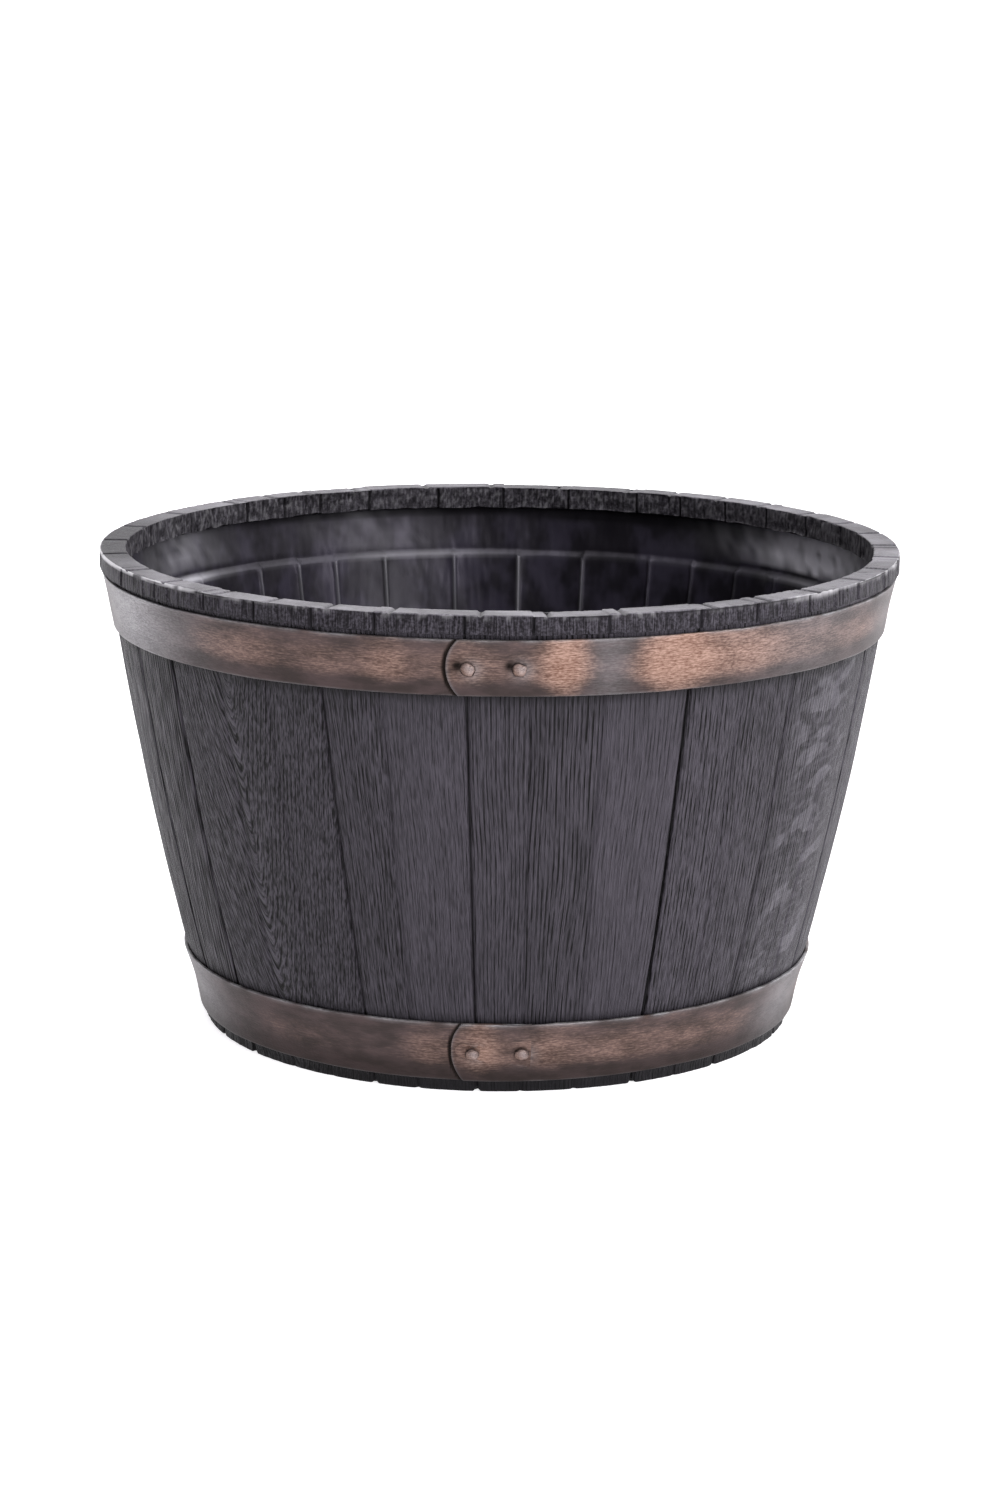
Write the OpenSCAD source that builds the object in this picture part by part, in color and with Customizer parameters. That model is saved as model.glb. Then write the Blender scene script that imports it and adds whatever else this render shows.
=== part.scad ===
// Half-barrel planter, moulded in wood-effect plastic.
// A tapered tub with false staves carries a rim, an upside-down channel that fits over its
// top edge. Two flat hoops sit on the taper, and each one's lapped ends are riveted together.
// Millimetres, +Z up. The origin is the centre of the base, and the hoops' laps face -Y.

/* [Overall] */
// Diameter over the rim
overall_d = 500; // [440:1:580]
// Height from the ground to the top of the rim
overall_h = 300; // [240:1:360]
// Diameter at which the sides would meet the ground
base_d = 377; // [340:1:420]
// How far the sides swell beyond a straight cone at half height
wall_bow = 2.1; // [0:0.1:5]
// How far the foot is drawn in below the lower hoop's top edge
foot_tuck = 2.4; // [0:0.1:4]

/* [Tub] */
// Thickness of the staved wall
wall_t = 5.5; // [4:0.1:8]
// Thickness of the plain wall above the ledge
neck_t = 3; // [2:0.1:3.8]
// Thickness of the floor
floor_t = 4; // [3:0.1:8]
// Height of the floor's underside above the ground
floor_rise = 8; // [4:0.5:20]
// Depth of the ledge's upper edge below the top of the rim
ledge_drop = 43.5; // [36:0.5:60]
// Height of the ledge's slope
ledge_h = 4.5; // [2:0.1:8]
// Width of the ribs inside the wall, one behind each stave joint
rib_w = 5; // [2:0.1:10]
// How far the ribs stand in from the wall
rib_proud = 1.8; // [0.6:0.1:4]
// Width of the grooves between staves
groove_w = 2.2; // [1:0.1:4]
// Depth of the grooves between staves
groove_depth = 1.4; // [0.5:0.1:2]
// Height of the nick under each stave joint, at the foot
nick_h = 2.5; // [1:0.1:5]
// Depth of that nick into the foot
nick_depth = 3; // [1:0.1:3.5]
// Diameter of the drain holes
drain_d = 12; // [6:0.5:24]
// Diameter of the circle that the drain holes lie on
drain_pcd = 220; // [100:1:280]
// Number of drain holes
drain_count = 6; // [3:1:12]

/* [Rim] */
// Width of the rim's top face
rim_w = 16.7; // [13:0.1:24]
// Thickness of the rim's top
rim_t = 3; // [2.4:0.1:4]
// Height of the rim's outer skirt
skirt_h = 12; // [9:0.5:13]
// How far the skirt stands out past the upper hoop
skirt_proud = 1.3; // [0.6:0.1:3]
// Height of the rim's inner lip
lip_h = 15; // [10:0.5:25]
// Thickness of the inner lip
lip_t = 3; // [2.4:0.1:4]
// Radius of the rim's upper edges
rim_round = 1.8; // [1:0.1:3]
// Depth of the notches between the stave ends on the rim
rim_notch = 1.3; // [0.5:0.1:1.6]
// Thickness of the hidden flange that traps the tub's top edge in the rim
flange_t = 2; // [1.5:0.1:3]
// Depth of that flange below the rim's top
flange_h = 6; // [3:0.5:8]

/* [Hoops] */
// Thickness of the hoops
hoop_t = 2; // [1.5:0.1:2.5]
// Depth of the upper hoop's top edge below the top of the rim
upper_hoop_drop = 14; // [13.5:0.5:20]
// Width of the upper hoop
upper_hoop_w = 34.5; // [28:0.5:45]
// Height of the lower hoop's bottom edge above the ground
lower_hoop_rise = 7.4; // [4:0.1:12]
// Width of the lower hoop
lower_hoop_w = 38.6; // [28:0.1:45]
// Sideways place of the tip of the upper hoop's lap
upper_lap_x = -30; // [-60:1:0]
// Sideways place of the tip of the lower hoop's lap
lower_lap_x = -26.5; // [-60:0.5:0]
// How far a lap's round end bulges
lap_bulge = 6.8; // [3:0.1:12]
// How far a lap stands above its hoop at the tip
lap_t = 1.6; // [1:0.1:2.5]
// Angle round the tub over which a lap fades into its hoop
lap_fade = 34; // [26:1:60]
// Distance from the second rivet to the covered end of the hoop
lap_under = 6; // [5:0.5:15]

/* [Rivets] */
// Distance from the tip of a lap to its first rivet
rivet_inset = 12.5; // [9:0.5:20]
// Distance between a lap's two rivets
rivet_pitch = 28.8; // [16:0.1:35]
// Diameter of a rivet's head
rivet_head_d = 8.6; // [6:0.1:12]
// Height of a rivet's head
rivet_head_h = 2; // [1:0.1:3]
// Diameter of a rivet's shank
rivet_shank_d = 4.4; // [3:0.1:5]
// Diameter of a rivet's spread tail, flush with the hoop's inner face
rivet_tail_d = 6; // [5.2:0.1:8]

/* [Clearances] */
// Gap between the tub's wall and the hoops
hoop_gap = 0.2; // [0.1:0.05:0.4]
// Gap on each side of the tub's top edge in the rim's groove
rim_gap = 0.3; // [0.1:0.05:0.5]
// Gap between the two layers of a lap
lap_gap = 0.2; // [0.1:0.05:0.3]
// Gap round a rivet's shank
rivet_gap = 0.05; // [0.02:0.01:0.15]
// Gap under a rivet's head, which lets its flat face span the curved hoop
head_gap = 0.12; // [0.08:0.02:0.3]

/* [Hidden] */

$fn = 96;

// Widths of the staves in degrees, from just left of the front and on round to the right
STAVE_WIDTHS = [9, 10, 13, 9, 10, 12, 10, 10, 10, 11, 10, 11, 10, 9, 9, 8, 12,
                11, 11, 12, 9, 7, 8, 14, 14, 13, 13, 14, 11, 11, 9, 9, 9, 12];
FIRST_JOINT = -4.5;          // the joint that the list starts from, in degrees from the front

STAVE_COLOUR = [0.25, 0.25, 0.27];
RIM_COLOUR = [0.30, 0.30, 0.31];
HOOP_COLOUR = [0.52, 0.41, 0.36];
RIVET_COLOUR = [0.60, 0.47, 0.41];

OVER = 1;                    // how far a cutter runs past what it cuts
HOOP_EDGE = 0.6;             // chamfer on a hoop's outer edges
FLOOR_FILLET = 12;           // corner between the floor and the wall
ARC_STEPS = 6;               // straight pieces in a rounded corner
LAP_STEPS = 16;              // straight pieces in a lap's round end
WALL_STEPS = 7;              // straight pieces in the bowed wall between the hoops
FADE_END = 5;                // a lap is cut off this many degrees before it fades to nothing
UNDER_SLOT = 0.4;            // slot at the covered end of a hoop

rim_r = overall_d / 2;
lip_r = rim_r - rim_w;
upper_hoop_top = overall_h - upper_hoop_drop;
upper_hoop_low = upper_hoop_top - upper_hoop_w;
lower_hoop_top = lower_hoop_rise + lower_hoop_w;
edge_top = overall_h - rim_t;                     // the tub's top edge
skirt_t = hoop_t + hoop_gap + skirt_proud;
neck_r = rim_r - skirt_t - rim_gap;
ledge_top = overall_h - ledge_drop;
ledge_low = ledge_top - ledge_h;
floor_top = floor_rise + floor_t;
joint_scale = 360 / sum_to(STAVE_WIDTHS, len(STAVE_WIDTHS));

// Sum of a list's first n numbers
function sum_to(v, n) = n == 0 ? 0 : v[n - 1] + sum_to(v, n - 1);
// Stave joint number i, in degrees from the front towards +X
function joint_angle(i) = FIRST_JOINT + joint_scale * sum_to(STAVE_WIDTHS, i);
// Radius of the tub's outside at height z: a cone, a slight swell, and the drawn-in foot
function wall_r(z) =
    let (u = min(z, upper_hoop_top) / upper_hoop_top)
    base_d / 2 + (neck_r - base_d / 2) * u + wall_bow * pow(sin(180 * u), 2)
    - foot_tuck * max(0, 1 - z / lower_hoop_top);
// Heights of the outline's corners from z0 to z1
function wall_heights(z0, z1, steps) = [for (i = [0:steps]) z0 + (z1 - z0) * i / steps];
// Outline of the tub's outside, shifted outwards by d, from height z0 to height z1
function wall_line(z0, z1, d, steps = WALL_STEPS) =
    [for (z = wall_heights(z0, z1, steps)) [wall_r(z) + d, z]];
// Arc about [x, y] from angle a0 to a1
function arc(x, y, r, a0, a1, steps = ARC_STEPS) =
    [for (i = [0:steps]) let (a = a0 + (a1 - a0) * i / steps) [x + r * cos(a), y + r * sin(a)]];

// Turns a child drawn about +X to the angle a from the front
module face(a) {
    rotate([0, 0, a - 90]) children();
}

// A narrow slice of a turned shape, w wide at radius r, at the angle a
module sliver(a, w, r) {
    slice = w / r * 180 / PI;
    face(a - slice / 2) rotate_extrude(angle = slice) children();
}

// ---- tub ----

// Outline of the solid tub, before it is hollowed
module tub_outline() {
    polygon(concat(
        [[0, 0]],
        wall_line(0, lower_hoop_rise, 0, 1),
        wall_line(lower_hoop_top, upper_hoop_low, 0),
        [[neck_r, upper_hoop_top], [neck_r, edge_top], [0, edge_top]]));
}

// Outline of the planting space, with the ledge behind the upper hoop
module cavity_outline() {
    corner_r = wall_r(floor_top + FLOOR_FILLET) - wall_t - FLOOR_FILLET;
    polygon(concat(
        [[0, floor_top]],
        arc(corner_r, floor_top + FLOOR_FILLET, FLOOR_FILLET, -90, 0),
        wall_line(lower_hoop_top, ledge_low, -wall_t),
        [[wall_r(ledge_top) - neck_t, ledge_top],
         [neck_r - neck_t, upper_hoop_top],
         [neck_r - neck_t, edge_top + OVER],
         [0, edge_top + OVER]]));
}

// Outline of one rib on the inside of the wall, rooted in the wall
module rib_outline() {
    rib_low = floor_rise + floor_t / 2;
    face_line = wall_line(lower_hoop_top, ledge_low, -wall_t - rib_proud);
    polygon(concat(
        [[wall_r(rib_low) - wall_t - rib_proud, rib_low]], face_line,
        [[wall_r(ledge_low) - wall_t / 2, ledge_low + ledge_h / 3],
         [wall_r(rib_low) - wall_t / 2, rib_low]]));
}

// Outline of one groove between staves, ending out of sight under the upper hoop
module groove_outline() {
    groove_top = upper_hoop_low + upper_hoop_w / 4;
    inner = concat(
        wall_line(0, lower_hoop_rise, -groove_depth, 1),
        wall_line(lower_hoop_top, upper_hoop_low, -groove_depth),
        [[wall_r(groove_top) - groove_depth, groove_top]]);
    polygon(concat(
        [[wall_r(0) - groove_depth, -OVER]], inner,
        [[rim_r, groove_top], [rim_r, -OVER]]));
}

module tub() {
    color(STAVE_COLOUR) difference() {
        union() {
            difference() {
                rotate_extrude() tub_outline();
                rotate_extrude() cavity_outline();
                translate([0, 0, -OVER])
                    cylinder(r = wall_r(0) - wall_t, h = floor_rise + OVER);
            }
            for (i = [0:len(STAVE_WIDTHS) - 1])
                sliver(joint_angle(i), rib_w, wall_r(ledge_low)) rib_outline();
        }
        for (i = [0:len(STAVE_WIDTHS) - 1]) {
            sliver(joint_angle(i), groove_w, wall_r(ledge_low)) groove_outline();
            sliver(joint_angle(i), 2 * groove_w, wall_r(0))
                translate([wall_r(0) - nick_depth, -OVER]) square([nick_depth + OVER, nick_h + OVER]);
        }
        for (i = [0:drain_count - 1])
            face((i + 0.5) * 360 / drain_count) translate([drain_pcd / 2, 0, floor_rise - OVER])
                cylinder(d = drain_d, h = floor_t + 2 * OVER);
    }
}

// ---- rim ----

// Section through the rim: skirt, top, inner lip, and the flange that traps the tub's edge
module rim_section() {
    flange_r = neck_r - neck_t - rim_gap;
    polygon(concat(
        [[rim_r, overall_h - skirt_h]],
        arc(rim_r - rim_round, overall_h - rim_round, rim_round, 0, 90),
        arc(lip_r + rim_round, overall_h - rim_round, rim_round, 90, 180),
        [[lip_r, overall_h - lip_h],
         [lip_r + lip_t, overall_h - lip_h],
         [lip_r + lip_t, edge_top],
         [flange_r - flange_t, edge_top],
         [flange_r - flange_t, edge_top - flange_h],
         [flange_r, edge_top - flange_h],
         [flange_r, edge_top],
         [neck_r + rim_gap, edge_top],
         [neck_r + rim_gap, overall_h - skirt_h]]));
}

// Skin of the rim that a notch takes away, on its outside, top and inside
module rim_skin() {
    difference() {
        translate([lip_r - OVER, overall_h - lip_h - OVER])
            square([rim_w + 2 * OVER, lip_h + 2 * OVER]);
        translate([lip_r + rim_notch, overall_h - lip_h - 2 * OVER])
            square([rim_w - 2 * rim_notch, lip_h + 2 * OVER - rim_notch]);
    }
}

module rim_ring() {
    color(RIM_COLOUR) difference() {
        rotate_extrude() rim_section();
        for (i = [0:len(STAVE_WIDTHS) - 1])
            sliver(joint_angle(i), groove_w, rim_r) rim_skin();
    }
}

// ---- hoops ----

// Radius of the wall behind a hoop, a straight cone that may be read past both its ends
function band_r(z_low, z_high, z) =
    wall_r(z_low) + (wall_r(z_high) - wall_r(z_low)) * (z - z_low) / (z_high - z_low);

// Solid disc d outside the wall behind a hoop, from z_low - more to z_high + more
module band_disc(z_low, z_high, d, more) {
    rotate_extrude() polygon([
        [0, z_low - more],
        [band_r(z_low, z_high, z_low - more) + d, z_low - more],
        [band_r(z_low, z_high, z_high + more) + d, z_high + more],
        [0, z_high + more]]);
}

// The same from z_low to z_high, with its outer edges chamfered
module band_solid(z_low, z_high, d) {
    edge = HOOP_EDGE;
    rotate_extrude() polygon([
        [0, z_low],
        [wall_r(z_low) + d - edge, z_low],
        [band_r(z_low, z_high, z_low + edge) + d, z_low + edge],
        [band_r(z_low, z_high, z_high - edge) + d, z_high - edge],
        [wall_r(z_high) + d - edge, z_high],
        [0, z_high]]);
}

// Block in front of the tub between two sideways places
module front_block(x0, x1, z_low, z_high) {
    translate([x0, -rim_r - 2 * OVER, z_low - OVER])
        cube([x1 - x0, rim_r, z_high - z_low + 2 * OVER]);
}

// Everything to the right of a lap's round end, up to where the lap is cut off
module lap_block(z_low, z_high, lap_x) {
    half_w = (z_high - z_low) / 2;
    end_r = (half_w * half_w + lap_bulge * lap_bulge) / (2 * lap_bulge);
    fade_angle = lap_angle(z_low, z_high, lap_x) + lap_fade - FADE_END;
    cut_x = wall_r(z_high) * sin(fade_angle);
    turn = asin((half_w + OVER) / end_r);
    rotate([90, 0, 0]) linear_extrude(rim_r + 2 * OVER) polygon(concat(
        arc(lap_x + end_r, (z_low + z_high) / 2, end_r, 180 - turn, 180 + turn, LAP_STEPS),
        [[cut_x, z_low - OVER], [cut_x, z_high + OVER]]));
}

// Angle from the front of a lap's tip
function lap_angle(z_low, z_high, lap_x) = asin(lap_x / wall_r((z_low + z_high) / 2));
// Shift of the lap's surface off the tub's axis: full thickness at the tip, none at the fade's end
function lap_shift(z_low, z_high, lap_x) =
    let (a = lap_angle(z_low, z_high, lap_x) + lap_fade - 90, d = lap_t / sin(lap_fade))
    [d * sin(a), -d * cos(a), 0];
// How far the lap stands above the hoop at the sideways place x
function lap_rise(z_low, z_high, lap_x, x) =
    let (a = asin(x / wall_r((z_low + z_high) / 2)))
    lap_t / sin(lap_fade) * sin(lap_angle(z_low, z_high, lap_x) + lap_fade - a);

// A hoop: a band whose one end lies over the other, held by two rivets
module hoop(z_low, z_high, lap_x) {
    out = hoop_gap + hoop_t;
    under_x = lap_x + rivet_inset + rivet_pitch + lap_under;
    color(HOOP_COLOUR) difference() {
        union() {
            band_solid(z_low, z_high, out);
            intersection() {
                translate(lap_shift(z_low, z_high, lap_x)) band_solid(z_low, z_high, out);
                lap_block(z_low, z_high, lap_x);
            }
        }
        band_disc(z_low, z_high, hoop_gap, OVER);
        // the slit between the lap and the end that it covers
        intersection() {
            difference() {
                band_disc(z_low, z_high, out + lap_gap, OVER);
                band_disc(z_low, z_high, out, 2 * OVER);
            }
            front_block(lap_x - OVER, under_x, z_low, z_high);
        }
        // the covered end itself
        intersection() {
            band_disc(z_low, z_high, out + lap_gap, OVER);
            front_block(under_x, under_x + UNDER_SLOT, z_low, z_high);
        }
        for (x = rivet_places(lap_x))
            at_rivet(z_low, z_high, x) rivet_hole();
    }
}

// ---- rivets ----

// Sideways places of a lap's two rivets
function rivet_places(lap_x) = [lap_x + rivet_inset, lap_x + rivet_inset + rivet_pitch];

// Puts a child that stands along +Z on the hoop's inner face, square to it, at the place x
module at_rivet(z_low, z_high, x) {
    mid_z = (z_low + z_high) / 2;
    mid_r = (wall_r(z_low) + wall_r(z_high)) / 2 + hoop_gap;
    lean = atan((wall_r(z_high) - wall_r(z_low)) / (z_high - z_low));
    rotate([0, 0, asin(x / wall_r(mid_z))]) translate([0, -mid_r, mid_z])
        rotate([90 + lean, 0, 0]) children();
}

module rivet_hole() {
    tail_h = (rivet_tail_d - rivet_shank_d) / 2;
    translate([0, 0, -OVER]) cylinder(d = rivet_shank_d + 2 * rivet_gap, h = rivet_head_d + OVER);
    translate([0, 0, -OVER]) cylinder(
        d1 = rivet_tail_d + 2 * rivet_gap + 2 * OVER,
        d2 = rivet_shank_d + 2 * rivet_gap, h = tail_h + OVER);
}

// A rivet that holds the lap at the sideways place x: spread tail, shank and domed head
module rivet(z_low, z_high, lap_x, x) {
    tail_h = (rivet_tail_d - rivet_shank_d) / 2;
    grip = hoop_t + lap_rise(z_low, z_high, lap_x, x) + head_gap;
    head_r = rivet_head_d / 2;
    dome_r = (head_r * head_r + rivet_head_h * rivet_head_h) / (2 * rivet_head_h);
    color(RIVET_COLOUR) at_rivet(z_low, z_high, x) union() {
        cylinder(d1 = rivet_tail_d, d2 = rivet_shank_d, h = tail_h);
        cylinder(d = rivet_shank_d, h = grip + rivet_head_h / 2);
        intersection() {
            translate([0, 0, grip + rivet_head_h - dome_r]) sphere(r = dome_r);
            translate([0, 0, grip]) cylinder(r = head_r, h = rivet_head_h);
        }
    }
}

module upper_hoop() {
    hoop(upper_hoop_low, upper_hoop_top, upper_lap_x);
}

module lower_hoop() {
    hoop(lower_hoop_rise, lower_hoop_top, lower_lap_x);
}

module upper_rivet_left() {
    rivet(upper_hoop_low, upper_hoop_top, upper_lap_x, rivet_places(upper_lap_x)[0]);
}

module upper_rivet_right() {
    rivet(upper_hoop_low, upper_hoop_top, upper_lap_x, rivet_places(upper_lap_x)[1]);
}

module lower_rivet_left() {
    rivet(lower_hoop_rise, lower_hoop_top, lower_lap_x, rivet_places(lower_lap_x)[0]);
}

module lower_rivet_right() {
    rivet(lower_hoop_rise, lower_hoop_top, lower_lap_x, rivet_places(lower_lap_x)[1]);
}

tub();
rim_ring();
upper_hoop();
lower_hoop();
upper_rivet_left();
upper_rivet_right();
lower_rivet_left();
lower_rivet_right();
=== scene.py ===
# %% [markdown]
# # A half-barrel planter
# The real planter is moulded in charcoal plastic that imitates a sawn-off oak barrel: a tapered tub
# with false staves, a rough rim clipped over its top edge, and two flat hoops rubbed with copper
# paint, each closed by a riveted lap. The CAD model already holds every piece at its true size.
# This lesson dresses it. Each piece gets a finer surface that follows the same dimensions, worked
# out with numpy as a function of two parameters, and a material made from noise at real scales.
# The first step loads the CAD model as a frame that never moves.

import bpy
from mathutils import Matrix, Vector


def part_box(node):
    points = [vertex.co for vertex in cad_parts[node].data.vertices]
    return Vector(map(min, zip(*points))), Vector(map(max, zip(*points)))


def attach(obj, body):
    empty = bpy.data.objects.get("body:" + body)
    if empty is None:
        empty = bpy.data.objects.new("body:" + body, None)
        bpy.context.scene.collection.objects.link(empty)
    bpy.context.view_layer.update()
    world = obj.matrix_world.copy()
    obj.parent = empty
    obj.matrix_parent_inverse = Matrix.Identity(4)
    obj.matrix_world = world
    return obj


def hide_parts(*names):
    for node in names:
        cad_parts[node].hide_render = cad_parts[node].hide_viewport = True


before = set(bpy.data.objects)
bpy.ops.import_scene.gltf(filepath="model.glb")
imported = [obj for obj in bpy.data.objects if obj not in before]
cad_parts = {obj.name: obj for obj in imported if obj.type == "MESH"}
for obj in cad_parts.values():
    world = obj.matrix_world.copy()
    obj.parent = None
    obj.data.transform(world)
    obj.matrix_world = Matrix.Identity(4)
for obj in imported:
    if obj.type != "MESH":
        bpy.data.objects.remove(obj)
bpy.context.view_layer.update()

# %% [markdown]
# ## Sizes
# Blender works in metres, so a size in millimetres is written as a number times MM. The places of
# the hoops and the rim are read from the boxes of the CAD nodes. What a box can't tell, such as the
# swell of the wall, is repeated here as a named value.

# %% Read the places of the pieces
import math

import bmesh
import bpy
import numpy as np
from mathutils import Matrix, Vector

MM = 0.001


def height_range(node):
    """Lowest and highest z of a CAD node, rounded to a tenth of a millimetre."""
    low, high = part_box(node)
    return round(low[2], 4), round(high[2], 4)


RIM_LOW_IN, TOP_Z = height_range("rim_ring")
UPPER_LOW, UPPER_TOP = height_range("upper_hoop")
LOWER_LOW, LOWER_TOP = height_range("lower_hoop")
EDGE_TOP = height_range("tub")[1]
RIM_R = round(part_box("rim_ring")[1][0], 3) - 0.1 * MM     # a hair inside the CAD box
print("hoops:", UPPER_LOW, UPPER_TOP, LOWER_LOW, LOWER_TOP, "rim radius:", RIM_R)

# %% [markdown]
# The wall is a cone with a slight swell, drawn in a little at the foot. One formula gives its
# radius at any height. Because it takes a whole array of heights at once, the same line serves for
# one point or for a hundred thousand.

# %% The wall's radius
BASE_R = 188.5 * MM       # where the sides would meet the ground
NECK_R = 246.2 * MM       # the plain wall inside the rim
WALL_BOW = 2.1 * MM       # swell at half height
FOOT_TUCK = 2.4 * MM      # how far the foot is drawn in
WALL_T = 5.5 * MM
NECK_T = 3.0 * MM


def wall_r(z):
    """Straight line from BASE_R to NECK_R, plus WALL_BOW times sin squared, less the foot's tuck."""
    u = np.clip(z, 0, UPPER_TOP) / UPPER_TOP
    bow = WALL_BOW * np.sin(np.pi * u) ** 2
    tuck = FOOT_TUCK * np.maximum(0, 1 - z / LOWER_TOP)
    return BASE_R + (NECK_R - BASE_R) * u + bow - tuck


def around(r, angle, z):
    """Points at radius r, height z and an angle in degrees from the front (-Y) towards +X."""
    a = np.radians(angle)
    return np.stack(np.broadcast_arrays(r * np.sin(a), -r * np.cos(a), z), axis=-1)


print("wall radius at the ground and at half height:", wall_r(0.0), wall_r(0.15))

# %% [markdown]
# ## Noise
# Worn plastic is never even. This function blends random numbers on a lattice with a smooth step,
# which is called value noise. A fixed seed gives the same numbers on every run. A pattern that goes
# right round the tub has a whole number of cells, so it meets itself without a seam.

# %% Value noise on whole arrays
TABLE_ROWS = 128           # the pattern repeats after this many cells along y


def noise(x, y, seed, wrap=512):
    """Smooth random height from -1 to 1: corner values of a lattice cell, blended by 3t^2 - 2t^3."""
    x, y = np.broadcast_arrays(x, y)
    table = np.random.default_rng(seed).uniform(-1, 1, (wrap, TABLE_ROWS))
    col, row = np.floor(x).astype(int), np.floor(y).astype(int)
    s, t = x - col, y - row
    s, t = s * s * (3 - 2 * s), t * t * (3 - 2 * t)
    col, next_col = col % wrap, (col + 1) % wrap
    row, next_row = row % TABLE_ROWS, (row + 1) % TABLE_ROWS
    near = table[col, row] * (1 - s) + table[next_col, row] * s
    far = table[col, next_row] * (1 - s) + table[next_col, next_row] * s
    return near * (1 - t) + far * t


def ring_noise(angle, cells, y, seed):
    """Noise with a whole number of cells round the circle."""
    return noise(angle / 360 * cells, y, seed, cells)


print("noise stays within:", noise(np.linspace(0, 40, 900), 0.3, 1).min().round(2), "to 1")

# %% [markdown]
# Three more curves shape almost everything here: a ramp is a soft step, a bell is a soft spot, and
# a fade dies away from an edge. Wear and light on a round piece are placed one by one, by angle, so
# the last function adds up soft spots round the circle.

# %% Soft steps and spots
def ramp(low, high, x):
    """0 below low, 1 above high, and the smooth step 3t^2 - 2t^3 between them."""
    t = np.clip((x - low) / (high - low), 0, 1)
    return t * t * (3 - 2 * t)


def bell(distance, reach):
    """exp(-(distance / reach)^2), which is 1 in the middle and 0.37 at the reach."""
    return np.exp(-(distance / reach) ** 2)


def fade(distance, reach):
    """exp(-|distance| / reach), which is 1 at the edge and has a long tail."""
    return np.exp(-np.abs(distance) / reach)


def spots(angle, places):
    """Sum of strength * bell for places (angle, half width in degrees, strength) round the circle."""
    return sum(strength * bell((angle - deg + 180) % 360 - 180, reach) for deg, reach, strength in places)


print("a spot at its middle and its reach:", spots(np.array([0.0, 10.0]), [(0, 10, 1.0)]).round(2))

# %% [markdown]
# ## From arrays to a mesh
# A grid of points becomes a mesh when neighbouring points are joined by quads. `grid_quads` works
# out the corner numbers of all the quads at once. `make_piece` puts the arrays into a mesh, stores
# extra numbers per point for the materials to read, merges points that coincide at seams and
# poles, and turns the faces outwards. It also prints what it made, because a closed piece has no
# open edges and that is worth seeing every time.

# %% Grid and mesh helpers
MERGE_DISTANCE = 0.002 * MM
SHARP_ANGLE = math.radians(50)


def grid_quads(rows, cols, ring_rows=False, ring_cols=False):
    """Quads between the points i * cols + j of a grid; a ring joins its last row or column to its first."""
    i = np.arange(rows if ring_rows else rows - 1)[:, None]
    j = np.arange(cols if ring_cols else cols - 1)[None, :]
    up, right = (i + 1) % rows, (j + 1) % cols
    corners = np.broadcast_arrays(i * cols + j, i * cols + right, up * cols + right, up * cols + j)
    return np.stack(corners, axis=-1).reshape(-1, 4)


def make_piece(name, points, quads, uv, values, materials, faces_of=None):
    """One object at the origin from points (n, 3), quads (m, 4), uv (m, 4, 2) and values per point."""
    mesh = bpy.data.meshes.new(name)
    mesh.from_pydata(points.reshape(-1, 3).tolist(), [], quads.tolist())
    mesh.uv_layers.new(name="grain").uv.foreach_set("vector", uv.astype(np.float32).ravel())
    for key, numbers in values.items():
        layer = mesh.attributes.new(key, "FLOAT", "POINT")
        layer.data.foreach_set("value", np.ascontiguousarray(numbers, np.float32).ravel())
    for material in materials:
        mesh.materials.append(material)
    if faces_of is not None:
        mesh.polygons.foreach_set("material_index", np.asarray(faces_of, np.int32))
    shell = bmesh.new()
    shell.from_mesh(mesh)
    bmesh.ops.remove_doubles(shell, verts=shell.verts, dist=MERGE_DISTANCE)
    bmesh.ops.recalc_face_normals(shell, faces=shell.faces)
    open_edges = sum(not edge.is_manifold for edge in shell.edges)
    volume = shell.calc_volume(signed=True)
    shell.to_mesh(mesh)
    shell.free()
    mesh.shade_smooth()
    mesh.set_sharp_from_angle(angle=SHARP_ANGLE)
    piece = bpy.data.objects.new(name, mesh)
    bpy.context.scene.collection.objects.link(piece)
    triangles = sum(len(face.vertices) - 2 for face in mesh.polygons)
    print(f"{name}: {triangles} triangles, {open_edges} open edges, {volume * 1e6:.1f} cm3")
    return piece


def finish_piece(piece, slot, *nodes):
    """Ties a piece to the body and hides the CAD nodes that it stands for; the slot is not used."""
    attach(piece, "root")
    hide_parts(*nodes)


# %% [markdown]
# ## Nodes
# A material is a graph of nodes. One small function adds any node, sets its properties and sockets,
# makes its links and returns an output, so a material below reads as a list of what it is made of.
# A socket is named, or numbered where a node keeps one per data type. The colours of a Mix node
# are inputs 6 and 7 and its output 2, and a Map Range node takes its value at 0, the old range at 1
# and 2 and the new one at 3 and 4. Colours are the hex values that one picks on screen, and one
# function turns them into the linear numbers that Blender computes with. Each material starts from
# one colour and lays paint after paint over it, each through its own mask.

# %% Colours and nodes
SMOOTH = {"interpolation_type": "SMOOTHSTEP"}
TIMES = {"operation": "MULTIPLY"}
COLOURS = {"data_type": "RGBA"}


def linear(hex_colour):
    """sRGB hex to linear RGBA: c / 12.92 below 0.04045, otherwise ((c + 0.055) / 1.055) ^ 2.4."""
    c = np.array([int(hex_colour[k:k + 2], 16) for k in (1, 3, 5)]) / 255
    straight, curved = c / 12.92, ((c + 0.055) / 1.055) ** 2.4
    return (*np.where(c <= 0.04045, straight, curved).tolist(), 1.0)


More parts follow.
